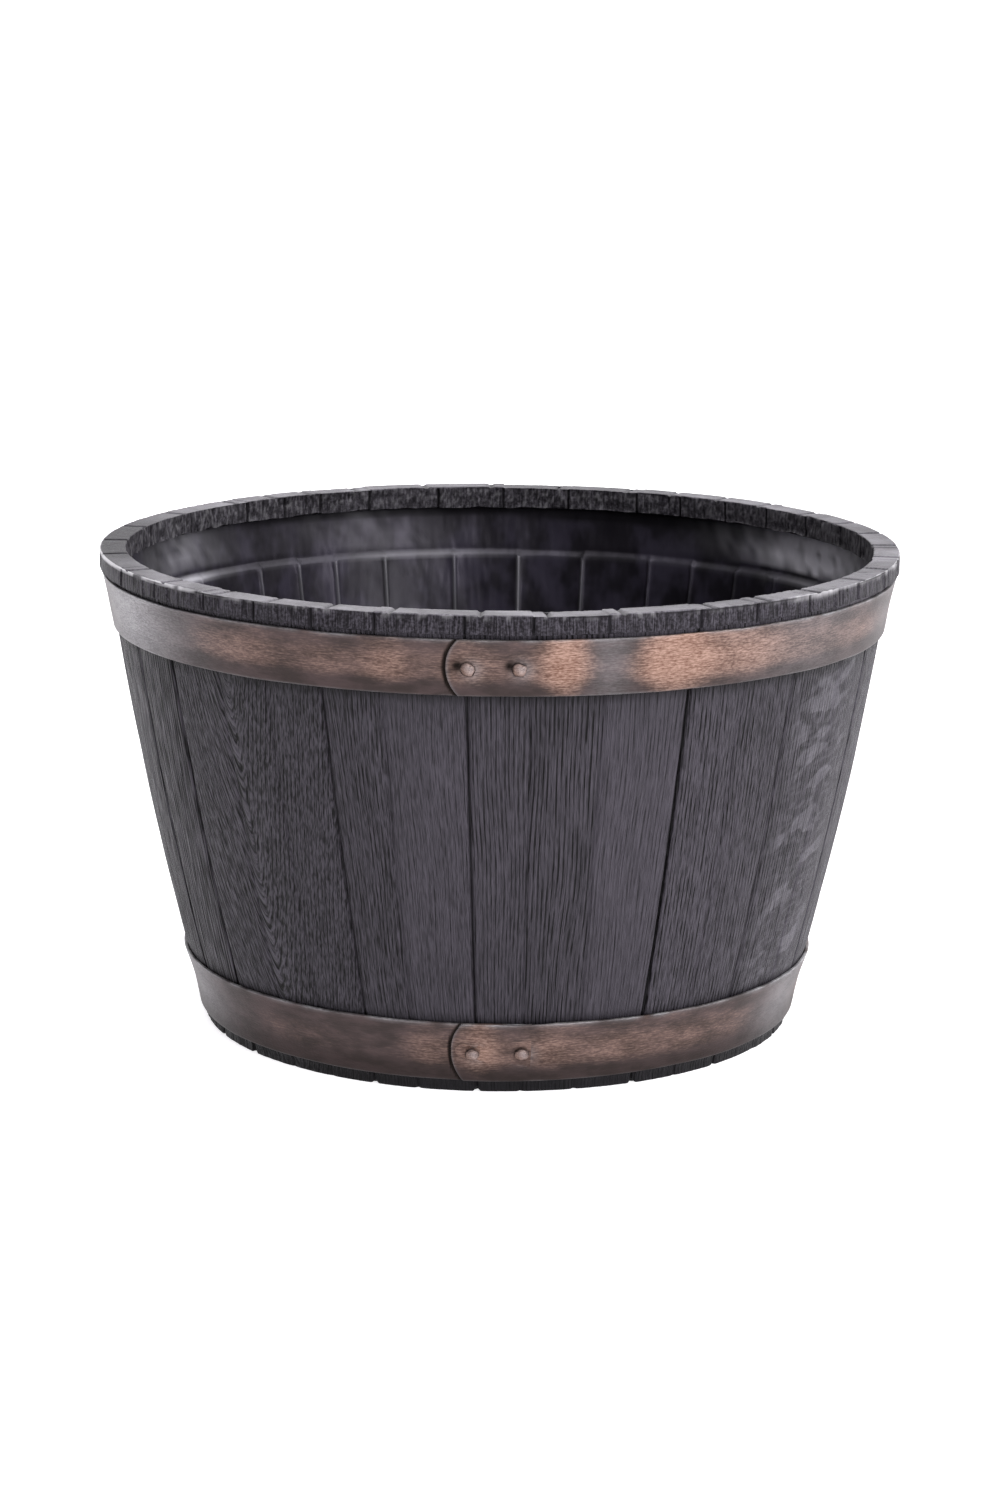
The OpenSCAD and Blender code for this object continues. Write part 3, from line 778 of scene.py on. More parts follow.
def floor_sheets(top_deg, top_r, low_deg, low_r):
    """Upper and lower sheet of the floor and the walls of its holes, as arrays of points and quads."""
    apart = [np.abs((top_deg - SECTOR_DEG * k + 180) % 360 - 180) for k in range(DRAIN_COUNT)]
    starts = [int(np.argmin(degrees)) for degrees in apart]
    points, quads, count = [], [], 0
    for number in range(DRAIN_COUNT):
        first, last = starts[number], starts[(number + 1) % DRAIN_COUNT]
        span = np.arange(first, last + 1 if last > first else last + 1 + len(top_deg)) % len(top_deg)
        for deg, radius, z in ((top_deg, top_r, FLOOR_TOP), (low_deg, low_r, FLOOR_RISE)):
            flat_points = floor_sector(deg[span], radius, number)
            rings, n = flat_points.shape[:2]
            points.append(np.concatenate([flat_points, np.full((rings, n, 1), z)], axis=2).reshape(-1, 3))
            quads.append(grid_quads(rings, n, ring_cols=True) + count)
            count += rings * n
        # the hole's wall joins the first ring of the upper sheet to that of the lower sheet
        upper, lower = count - 2 * rings * n, count - rings * n
        here, following = np.arange(n), (np.arange(n) + 1) % n
        quads.append(np.stack([upper + here, upper + following, lower + following, lower + here], axis=1))
    return np.concatenate(points), np.concatenate(quads)


print("drain holes:", DRAIN_COUNT, "of", round(DRAIN_D / MM), "mm")

# %% [markdown]
# ## Tub: painted light and shade
# The edges of ledge and ribs get painted highlights, and some patches of the wall above the ledge
# get painted light. The photograph shows how strong each of these is at each angle, so the numbers
# below were set one by one, in degrees from the front. Each point stores what the materials need:
# how deep in a groove or a painted shade it lies, how pale it is inside, and what sets its stave
# apart. The painted shade is darkest along both hoops, at the foot and, inside, under the lip of the rim.

# %% Pale and dark parts of the tub
# the painted highlight on the ledge and the ribs: (angle, brightness), with straight lines between them
LEDGE_SHINE = [(0, 0.28), (100, 0.30), (122, 0.42), (133, 0.10), (160, 0.04), (174, 0.07), (182, 0.15),
               (190, 0.36), (200, 0.38), (207, 0.13), (226, 0.04), (233, 0.20), (240, 1.0), (252, 0.3),
               (360, 0.28)]
RIB_SHINE = [(0, 0.15), (140, 0.04), (160, 0.03), (165, 0.17), (176, 0.42), (188, 0.24), (200, 0.36),
             (208, 0.28), (220, 0.18), (240, 0.18), (360, 0.15)]
# painted light patches: (angle, half width in degrees, strength, height from which it lies)
INNER_LIGHT_PATCHES = [(119, 13, 2.6, 258 * MM), (240, 9, 0.40, 258 * MM), (203, 12, 0.08, 258 * MM),
              (20, 16, 0.17, 258 * MM), (310, 14, 0.14, 258 * MM), (199, 8, 0.10, 60 * MM)]
FULL_SHINE = 1.5           # the strength at which a point is fully pale
SHINE_Z = 253.5 * MM       # the brightest line of the ledge


def painted_light_inside(z, r, inside):
    """The largest of the painted highlights on the ledge and on the ribs, and the cloudy painted light
    patches.
    """
    ledge = np.interp(inner_deg % 360, *zip(*LEDGE_SHINE)) * bell(z - SHINE_Z, 2.2 * MM) * (r < INNER_R)
    ribs = (bell(from_left, 1.1 * MM) + bell(from_right, 1.1 * MM)) * ramp(30 * MM, 130 * MM, z)
    ribs = ribs * (z < LEDGE_LOW) * np.interp(inner_deg % 360, *zip(*RIB_SHINE))
    light_patch = sum(spots(inner_deg, [place]) * ramp(low, low + 6 * MM, z) for *place, low in INNER_LIGHT_PATCHES)
    cloudy = 0.64 + 0.44 * ring_noise(column_deg, 240, z / (5 * MM), 33)
    light_patch = light_patch * cloudy * (r < INNER_R + 1 * MM) * inside
    return np.maximum(np.maximum(ledge, ribs), light_patch) / FULL_SHINE


def dark_outside(z, r):
    """The largest of the joints' depth, the painted shade that fades away from each hoop, and the painted
    shade on the foot.
    """
    joints = np.clip(joint_cut / FULL_JOINT, 0, 1) ** 1.5
    shade = (0.55 * fade(UPPER_LOW - z, 2.6 * MM) + 0.22 * fade(UPPER_LOW - z, 16 * MM)
             + 0.5 * fade(z - LOWER_TOP, 1.8 * MM))
    shade = np.maximum(joints, shade * (r > wall_r(z) - 2.5 * MM))
    return np.maximum(shade, 0.85 * (z < LOWER_LOW + 1 * MM))


def dark_inside(z):
    """The band of shade under the rim's lip, on the far side only, tallest at the back right."""
    below_lip = np.maximum(RIM_LOW_IN - z, 0)
    band_h = (3.5 + 5 * bell(inner_deg % 360 - 148, 26)) * MM
    far_side = ramp(118, 132, inner_deg % 360) * (1 - ramp(214, 226, inner_deg % 360))
    band = 1 - ramp(band_h, band_h + 3.5 * MM, below_lip)
    return far_side * np.maximum(band, 0.5 * fade(below_lip, 10 * MM))


def oak_rays():
    """Where the pale rays may show: across the staves at the right, and weaker on two at the back."""
    right = ramp(-1, 7, column_deg - joint_deg[5]) * (1 - ramp(-6, -1, column_deg - joint_deg[7]))
    back_staves = 0.7 * np.isin(stave, (22, 23)) * ramp(0, 6 * MM, np.minimum(from_left, from_right))
    return np.maximum(right, back_staves)


print("points in the shade of the lip:", int((dark_inside(in_z) > 0.5).sum()))

# %% [markdown]
# ## Tub: one closed shell
# Now the rows are stacked into one grid that runs from the floor's corner up the inside, over the
# top edge, down the outside and in under the foot. The floor closes both its ends. The quads of the
# outside get the embossed material, and all the others the smooth one.

# %% Put the tub together
def make_tub():
    """Stacks the rows, turns each column by its lean, and closes the shell with the floor."""
    z = np.concatenate([in_z, edge_z, out_z, foot_z])
    r = np.concatenate([in_r, edge_r, out_r, foot_r])
    rows, cols = z.shape
    angle = column_deg + column_lean * (1 - np.clip(z, 0, UPPER_TOP) / UPPER_TOP)
    angle[:len(in_z)] += INNER_TURN * (1 - ramp(LEDGE_TOP, UPPER_TOP, in_z))
    wall = around(r, angle, z).reshape(-1, 3)
    floor_points, floor_quads = floor_sheets(angle[0], r[0, 0], angle[-1], r[-1, 0])
    quads = grid_quads(rows, cols, ring_cols=True)

    right_z, far_x = np.roll(z, -1, axis=1), from_left + to_next
    corners = [(from_left, z[:-1]), (far_x, right_z[:-1]), (far_x, right_z[1:]), (from_left, z[1:])]
    uv = np.stack([grain_uv(stave, x, height) for x, height in corners], axis=2).reshape(-1, 4, 2)
    uv = np.concatenate([uv, floor_points[floor_quads][:, :, :2]])

    first_out = (len(in_z) + len(edge_z)) * cols
    ground_rows = 3                                    # rows of the foot that belong to the outside
    face_material = np.ones(len(quads) + len(floor_quads), int)
    face_material[first_out:first_out + (len(out_z) + ground_rows) * cols] = 0

    inside = (np.arange(rows) < len(in_z))[:, None]
    groove = np.concatenate([dark_inside(in_z), dark_outside(z, r)[len(in_z):]])
    numbers = {"groove": groove, "ridge": painted_light_inside(z, r, inside), "fleck": oak_rays(),
               "tone": stave_tone[stave], "furrow": furrow_depth[stave], "ticks": tick_depth[stave]}
    on_floor = np.zeros(len(floor_points))
    values = {key: np.concatenate([(number + 0 * z).ravel(), on_floor]) for key, number in numbers.items()}
    return make_piece("tub_shell", np.concatenate([wall, floor_points]),
                      np.concatenate([quads, floor_quads + len(wall)]), uv, values,
                      [outside_plastic, inside_plastic], face_material)


tub_shell = make_tub()
finish_piece(tub_shell, "stave_plastic", "tub")

# %% [markdown]
# ## Rim: the material
# The rim imitates the sawn ends of the staves: dull, open and fibrous on its sides, and worn paler
# and smoother on top, where that paler colour also paints light on the top. The height of the fibres
# comes from the mesh, so the material adds only what is finer than a millimetre. A stored number says
# how far a point looks upwards, and it drives the pale top. Two more say where an edge is pale, and
# where the cuts and a painted shadow line are dark.

# %% Sawn rim plastic
def rim_plastic():
    """Polyethylene moulded in end grain: dull and dark with fibres, grey and smoother on its worn top, whose
    grey also paints light.
    """
    material, tree, top, arris, groove = new_material("moulded_rim_polyethylene", "top", "arris", "groove")
    fibre = speckle(tree, "grain", (0.9 * MM, 13 * MM, 1), 3.0, 0.6)
    grit = speckle(tree, "object", (1.6 * MM, 1.6 * MM, 1.6 * MM), 2.0, 0.6)
    patches = speckle(tree, "object", (26 * MM, 26 * MM, 26 * MM))
    tone = sum_of(tree, (fibre, 0.6), (grit, 0.4))
    light_side = add(tree, "MapRange", SMOOTH, in0=tone, in1=0.40, in2=0.66)
    colour = add(tree, "Mix", COLOURS, 2, in0=light_side, in6="#080708", in7="#46434a")
    rubbed = sum_of(tree, (grit, 0.5), (patches, 0.5))
    light_top = add(tree, "MapRange", SMOOTH, in0=rubbed, in1=0.36, in2=0.62)
    worn_and_lit_top = add(tree, "Mix", COLOURS, 2, in0=light_top, in6="#423f45", in7="#7b787f")
    # worn_and_lit_top is the worn top's grey and paints the light on it too; groove darkens the cuts and
    # paints a shadow line under the top's outer edge
    for mask, paint in ((top, worn_and_lit_top), (arris, "#d0ced2"), (groove, "#070708")):
        colour = add(tree, "Mix", COLOURS, 2, in0=mask, in6=colour, in7=paint)
    dull = add(tree, "MapRange", SMOOTH, in0=grit, in1=0.3, in2=0.7)
    roughness = sum_of(tree, (dull, 0.2), (top, -0.10), (0.46, 1.0))
    close_material(tree, colour, roughness, tone, 0.45 * MM, IOR=1.5, Specular_IOR_Level=0.18,
                   Specular_Tint="#efe6f5")
    return material


sawn_plastic = rim_plastic()
print("rim material:", sawn_plastic.name, len(sawn_plastic.node_tree.nodes), "nodes")

# %% [markdown]
# ## Rim: a profile carried round
# The rim is a hollow section carried round the circle: a skirt outside, a flat top, a lip inside,
# and behind them a groove that sits on the tub's top edge. The section is a closed list of points.
# Each has a direction in which wear may push it, and that is never outwards, because the rim's real
# size is the limit. Three shares say how much it belongs to a side, to the top or to a rounded edge.

# %% Rim section
SKIRT_LOW = 288 * MM
RIM_W, LIP_T, RIM_ROUND = 16.7 * MM, 3 * MM, 1.1 * MM
LIP_R = RIM_R - RIM_W
FLANGE_OUT, FLANGE_T, FLANGE_LOW = 242.9 * MM, 2 * MM, 291 * MM
GROOVE_TOP = EDGE_TOP + 0.2 * MM
NECK_SLOT = 246.5 * MM
ROUND_TURNS = np.array([22, 45, 68])                   # where the points of a rounded edge sit


def edge_points(edge_r, inwards, turns):
    """A quarter round: r = edge + inwards * round * (1 - cos a), z = top - round * (1 - sin a)."""
    rows = []
    for a in np.radians(turns):
        c, s = np.cos(a), np.sin(a)
        r, z = edge_r + inwards * RIM_ROUND * (1 - c), TOP_Z - RIM_ROUND * (1 - s)
        rows.append((r, z, inwards * c, -s, c ** 2, s ** 2, 1))
    return rows


def rim_profile():
    """One row per point of the section: r, z, the direction of wear in r and z, side, top, edge."""
    side_top = TOP_Z - RIM_ROUND
    rows = [(RIM_R, z, -1, 0, 1, 0, 0) for z in np.linspace(SKIRT_LOW, side_top, 8)]
    rows += edge_points(RIM_R, -1, ROUND_TURNS)
    rows += [(r, TOP_Z, 0, -1, 0, 1, 0) for r in np.linspace(RIM_R - RIM_ROUND, LIP_R + RIM_ROUND, 8)]
    rows += edge_points(LIP_R, 1, ROUND_TURNS[::-1])
    rows += [(LIP_R, z, 1, 0, 1, 0, 0) for z in np.linspace(side_top, RIM_LOW_IN, 8)]
    hidden = [(LIP_R + LIP_T, RIM_LOW_IN), (LIP_R + LIP_T, EDGE_TOP), (FLANGE_OUT - FLANGE_T, EDGE_TOP),
              (FLANGE_OUT - FLANGE_T, FLANGE_LOW), (FLANGE_OUT, FLANGE_LOW), (FLANGE_OUT, GROOVE_TOP),
              (NECK_SLOT, GROOVE_TOP), (NECK_SLOT, SKIRT_LOW)]
    rows += [(r, z, 0, 0, 0, 0, 0) for r, z in hidden]
    return np.array(rows, float)


section = rim_profile()
sect_r, sect_z, push_r, push_z, side, top, edge = section.T[:, :, None]
outer_side, inner_side = push_r < 0, push_r > 0
print("rim section:", len(section), "points")

# %% [markdown]
# The wear is a sum of noises, each with a whole number of cells round the circle: upright fibres
# and deep tears on both sides, lumps on the lip, pits on top and chips along the edges. A crack
# runs up the skirt at every joint. The notch on top stands two degrees further round, as in the
# photograph. Pits and chips are deepest at the front right, where the photograph's rim is roughest.

# %% Wear of the rim
RIM_COLUMNS = 2160         # a sixth of a degree each, so that every joint falls on a column
TOP_TURN = 2.0             # degrees from the cracks in the skirt to the notches in the top
RIM_LENGTH = 1570 * MM     # round its outside
DEEPEST = 2.2 * MM

rim_deg = np.arange(RIM_COLUMNS) * 360 / RIM_COLUMNS
rim_stave = (np.searchsorted(joint_deg, joint_deg[0] + (rim_deg - joint_deg[0]) % 360, "right") - 1) % STAVES
stand_in = rng.uniform(0, 0.3, STAVES)[rim_stave] * MM
settle = np.maximum(0, rng.uniform(-1.0, 1.0, STAVES))[rim_stave] * MM


def joint_distance(angle):
    """Distance in metres, measured at the rim, from each angle to the nearest joint."""
    apart = np.abs((angle[:, None] - joint_deg[None, :] + 180) % 360 - 180)
    return np.radians(apart.min(axis=1)) * RIM_R


def rim_notches():
    """1 in the middle of a crack or a notch and 0 beside it, with straight flanks."""
    notch = np.clip(1 - joint_distance(rim_deg - TOP_TURN) / (2.4 * MM), 0, 1)
    crack = np.clip(1.3 - joint_distance(rim_deg) / (1.1 * MM), 0, 1)
    return np.where(top + edge > 0.9, notch, crack)


def rim_wear(notch):
    """Depth of wear: side * (fibres + tears + lumps) + top * pits + edge * chips + notches."""
    fibres = np.abs(ring_noise(rim_deg, 1000, sect_z / (9 * MM), 41)) ** 1.4
    tears = ramp(0.35, 0.95, ring_noise(rim_deg, 500, sect_z / (30 * MM), 42))
    lumps = ramp(0.0, 0.9, ring_noise(rim_deg, 200, sect_z / (6 * MM), 46)) * inner_side
    pits = ramp(0.2, 0.9, ring_noise(rim_deg, 500, sect_r / (3 * MM), 43))
    chips = ramp(0.15, 0.8, ring_noise(rim_deg, 250, sect_z / (50 * MM), 44))
    rough_part = 0.4 + 0.6 * ramp(12, 30, np.minimum(rim_deg, 95 - rim_deg))
    wear = side * (0.45 * fibres + 0.6 * tears + 1.1 * lumps)
    wear = wear + (top * 0.30 * pits + edge * 0.8 * chips) * rough_part
    wear = wear + notch * (side * 1.3 + top * 1.6 + edge * 0.6)
    return np.minimum(wear * MM, DEEPEST)


notch = rim_notches()
wear = rim_wear(notch)
print("mean wear of the rim:", round(float(wear.mean() / MM), 2), "mm")

# %% [markdown]
# What the wear and the painted light and shade look like is stored too. The photograph shows a bright
# line along the outer edge at the left and at the right, and pale torn fibres below it. It shows
# dark parts of the top and a dark line under its outer edge, painted here as a shadow line. The inner
# face has fine specks, and it is palest at the back right.

# %% Pale and dark parts of the rim
# (angle from the front, half width in degrees, strength)
RIM_DARK = [(168, 20, 0.6), (112, 20, 0.45), (27, 11, 0.3), (60, 14, 0.35), (-82, 20, 0.95), (255, 20, 0.6)]
LEFT_EDGE, RIGHT_EDGE, RIGHT_LINE = [(290, 22, 1.8)], [(64, 24, 1.0)], [(62, 18, 0.30)]
LIP_PALE, LIP_PALE_RIGHT = 0.14, [(124, 22, 0.24)]


def rim_looks():
    """How pale a point's top, how bright its edge, and how dark its cuts and its painted shadow line are,
    each from 0 to 1.
    """
    from_top = sect_z - TOP_Z
    line = spots(rim_deg, LEFT_EDGE) * ramp(-0.8, 0.0, ring_noise(rim_deg, 250, 1.5, 50))
    line = (line + spots(rim_deg, RIGHT_LINE)) * np.maximum(edge, ramp(-2.4 * MM, -1.2 * MM, from_top))
    torn = 0.15 * ramp(0.10, 0.55, ring_noise(rim_deg, 600, sect_z / (7 * MM), 48))
    torn = torn * ramp(-4 * MM, -1 * MM, from_top)
    chipped = spots(rim_deg, RIGHT_EDGE) * ramp(0.0, 0.4, ring_noise(rim_deg, 160, 3.5, 50))
    chipped = 0.5 * chipped * ramp(-5 * MM, -1 * MM, from_top)
    arris = np.clip((line + torn + chipped) * outer_side * (top < 0.9), 0, 1)

    inner = side * inner_side
    specks = ring_noise(rim_deg, 1000, sect_z / (2.4 * MM), 51)
    arris = np.maximum(arris, 0.11 * inner * ramp(0.1, 0.8, specks))
    # a painted shadow line just under the top's outer edge, in places
    painted_shadow_line = (np.abs(from_top + RIM_ROUND) < 0.1 * MM) * outer_side
    painted_shadow_line = painted_shadow_line * ramp(-0.2, 0.3, ring_noise(rim_deg, 60, 0.5, 49))
    groove = np.maximum(notch * (1 - 0.3 * top), painted_shadow_line)
    groove = np.maximum(groove, 0.6 * inner * ramp(0.0, 0.7, -specks))
    # the pale top: worn colour that also paints the light on the top
    paler = top * np.clip(1 - spots(rim_deg, RIM_DARK), 0, 1)
    paler = paler + (LIP_PALE + spots(rim_deg, LIP_PALE_RIGHT)) * inner
    return {"top": paler, "groove": groove, "arris": arris}


rim_values = rim_looks()
print("rim numbers per point:", list(rim_values))

# %% [markdown]
# Last, the section is carried round. The ends of the skirt and of the lip are wavy, and the sawn
# top of some staves has settled by up to a millimetre.

# %% Carry the rim round
def make_rim():
    """Section times angle, each point moved along its wear direction, then the mesh and its UV."""
    skirt_end = (sect_z < SKIRT_LOW + 0.1 * MM) * outer_side * 0.7 * MM
    lip_end = (sect_z < RIM_LOW_IN + 1 * MM) * (side > 0) * 0.9 * MM
    r = sect_r + push_r * wear + np.sign(push_r) * side * stand_in
    z = sect_z + push_z * wear - top * settle
    z = z + skirt_end * (1 + ring_noise(rim_deg, 160, 2.5, 47))
    z = z + lip_end * (1 + ring_noise(rim_deg, 200, 0.5, 45))
    rows, cols = len(section), RIM_COLUMNS
    steps = np.diff(section[:, :2], axis=0, append=section[:1, :2])
    along = np.append(0, np.cumsum(np.hypot(*steps.T)))
    i, j = np.divmod(np.arange(rows * cols), cols)
    cell = RIM_LENGTH / cols
    u0, u1, v0, v1 = j * cell, (j + 1) * cell, along[i], along[i + 1]
    uv = np.stack([np.stack(corner, axis=-1) for corner in ((u0, v0), (u1, v0), (u1, v1), (u0, v1))], axis=1)
    quads = grid_quads(rows, cols, ring_rows=True, ring_cols=True)
    return make_piece("rim_cap", around(r, rim_deg, z), quads, uv, rim_values, [sawn_plastic])


rim_cap = make_rim()
finish_piece(rim_cap, "rim_plastic", "rim_ring")

# %% [markdown]
# ## Hoops: the material
# The hoops are plastic too. A dark bronze base coat was rubbed with copper paint, which caught on
# the high middle and missed the edges, the hollows and some whole patches. The paint holds metal
# flakes, so the surface is partly metallic. The patches were placed one by one: each one is an angle,
# a half width in degrees and a strength, and the material breaks their borders up with noise. In
# places the paint is rubbed off again down to a bare, cool grey, and the same grey paints the
# reflection at the hoops' ends and a highlight along their top edge. Painted shade darkens the band
# towards its low edge, in the crease at the lap's tip and in the dimples.

# %% Rubbed copper finish
def hoop_finish(name):
    """Copper paint rubbed over a dark bronze coat: satin, streaky along the band, grey where bare."""
    material, tree, rub, wear, dirt = new_material(name, "rub", "wear", "dirt")
    brush = speckle(tree, "grain", (8 * MM, 0.9 * MM, 1), 3.0, 0.65)
    grain = speckle(tree, "grain", (2.6 * MM, 0.9 * MM, 1), 2.0, 0.6)
    cloud = speckle(tree, "grain", (30 * MM, 11 * MM, 1), 3.0, 0.6)
    reach = sum_of(tree, (rub, 1.0), (brush, 0.50), (grain, 0.25), (cloud, 0.45), (-0.60, 1.0))
    copper = add(tree, "MapRange", SMOOTH, in0=reach)
    cloudy = add(tree, "MapRange", SMOOTH, in0=cloud, in1=0.35, in2=0.65)
    mottle = sum_of(tree, (grain, 0.40), (brush, 0.40), (cloud, 0.20))
    mottled = add(tree, "MapRange", SMOOTH, in0=mottle, in1=0.38, in2=0.62)
    colour = add(tree, "Mix", COLOURS, 2, in0=cloudy, in6="#3a3231", in7="#4c4040")
    rubbed = add(tree, "Mix", COLOURS, 2, in0=mottled, in6="#6a4c40", in7="#a4877a")
    bare_and_sheen = add(tree, "Mix", COLOURS, 2, in0=mottled, in6="#777579", in7="#a7a6a9")
    # bare_and_sheen: bare grey paint, which also paints a reflection at the hoops' ends and a highlight
    # along their top edge; dirt: the shade in the crease, the dimples, low on the band and round each
    # rivet's foot
    for mask, paint in ((copper, rubbed), (wear, bare_and_sheen), (dirt, "#100906")):
        colour = add(tree, "Mix", COLOURS, 2, in0=mask, in6=colour, in7=paint)
    roughness = sum_of(tree, (brush, 0.2), (copper, 0.06), (0.34, 1.0))
    height = sum_of(tree, (brush, 0.4), (grain, 0.6))
    close_material(tree, colour, roughness, height, 0.3 * MM, Metallic=0.45, Specular_IOR_Level=0.3,
                   Specular_Tint="#a8a4a2")
    return material


copper_finish = hoop_finish("rubbed_copper_over_bronze")
print("hoop material:", copper_finish.name, len(copper_finish.node_tree.nodes), "nodes")

# %% [markdown]
# ## Hoops: a strip carried round and over itself
# A real hoop is a strip of iron bent into a ring, whose end laps over its beginning. The surface
# is made the same way: a thin rounded section is carried from the tip of the lap, right round the
# tub, and back in under the lap. The outer layer stands proud at the tip and sinks into the ring
# over 34 degrees.

# %% Lap helpers
HOOP_T, HOOP_GAP, LAP_GAP = 2 * MM, 0.2 * MM, 0.2 * MM
LAP_T, LAP_FADE, LAP_BULGE = 1.6 * MM, 34.0, 6.8 * MM
RIVET_INSET, RIVET_PITCH, LAP_UNDER = 12.5 * MM, 28.8 * MM, 6 * MM
UPPER = (UPPER_LOW, UPPER_TOP, -30 * MM)               # low edge, top edge, sideways place of the tip
LOWER = (LOWER_LOW, LOWER_TOP, -26.5 * MM)


def lap_rise(turn):
    """How far the lap stands above the hoop, past its tip: LAP_T sin(fade - turn) / sin(fade)."""
    left = np.clip(LAP_FADE - turn, 0, None)
    soft = np.sqrt(left ** 2 + 4) - 2
    return LAP_T * np.sin(np.radians(np.minimum(soft, LAP_FADE))) / math.sin(math.radians(LAP_FADE))


def section_heights(height, middle=20):
    """Heights across the band from 0 to 1, crowded at both edges so that they can be rounded."""
    edge = np.array([0, 0.12, 0.35, 0.8, 1.5]) * MM / height
    return np.concatenate([edge, np.linspace(edge[-1], 1 - edge[-1], middle)[1:-1], 1 - edge[::-1]])


def edge_round(distance, radius=0.8 * MM):
    """How far a rounded corner falls away: r - sqrt(r^2 - (r - distance)^2) within the radius."""
    inside = np.clip(radius - distance, 0, radius)
    return radius - np.sqrt(radius ** 2 - inside ** 2)


print("lap above the hoop at its tip:", round(float(lap_rise(0.0) / MM), 2), "mm")

# %% [markdown]
# The tip of the lap is a shallow arc, so each height of the section starts at its own sideways
# place, and that shift dies away within 14 degrees. The turns of the strip crowd where something
# happens: at the tip, round the rivets, and where the covered end slips under the lap.

# %% Path of a hoop
WARP_DEG = 14.0


def strip_turns(under_turn):
    """Degrees past the tip at which the strip has a row: once round, and on under the lap."""
    parts = [[0, 0.04, 0.1, 0.2, 0.35, 0.55, 0.8], np.arange(1.05, WARP_DEG, 0.25),
             np.arange(WARP_DEG, 345, 0.75), np.arange(345.25, 359, 0.25), np.arange(359, 360.4, 0.1),
             np.arange(360.5, 360 + under_turn, 0.25)]
    return np.concatenate(parts)[:, None]


def tip_warp(turn, across, mid_r):
    """The tip's arc with its bulge, R - sqrt(R^2 - across^2), in degrees, faded out by the turn."""
    half = across.max()
    arc_r = (half ** 2 + LAP_BULGE ** 2) / (2 * LAP_BULGE)
    back = arc_r - np.sqrt(arc_r ** 2 - across ** 2)
    return np.degrees(back / mid_r) * np.clip(1 - turn / WARP_DEG, 0, 1) ** 2


def pressed(from_tip, across):
    """Dimples that the riveting pressed in beside the rivets, and the halo rubbed round them."""
    dimples, halo = 0.0, 0.0
    for rivet_x, reach in ((RIVET_INSET, 3.9 * MM), (RIVET_INSET + RIVET_PITCH, 3.2 * MM)):
        x = from_tip - rivet_x
        dimples = dimples + bell(np.hypot(x + 3 * MM + 0.7 * reach, across[0]), reach)
        halo = halo + bell(np.hypot(x - 2 * MM, across[1]), 6 * MM)
    return 0.8 * MM * dimples, halo


print("rows of the upper strip's round tip:", (strip_turns(20) < 1).sum())

# %% [markdown]
# A hoop has slow dents and fine ones, wavy edges and a hollow across its width, and a dark crease
# where the tip ends. Its looks follow: copper on the high middle, grey on the worn low edge and in
# the bare patches, grey along the top edge as a painted highlight, and painted shade in the crease,
# in the dimples and low on the band.

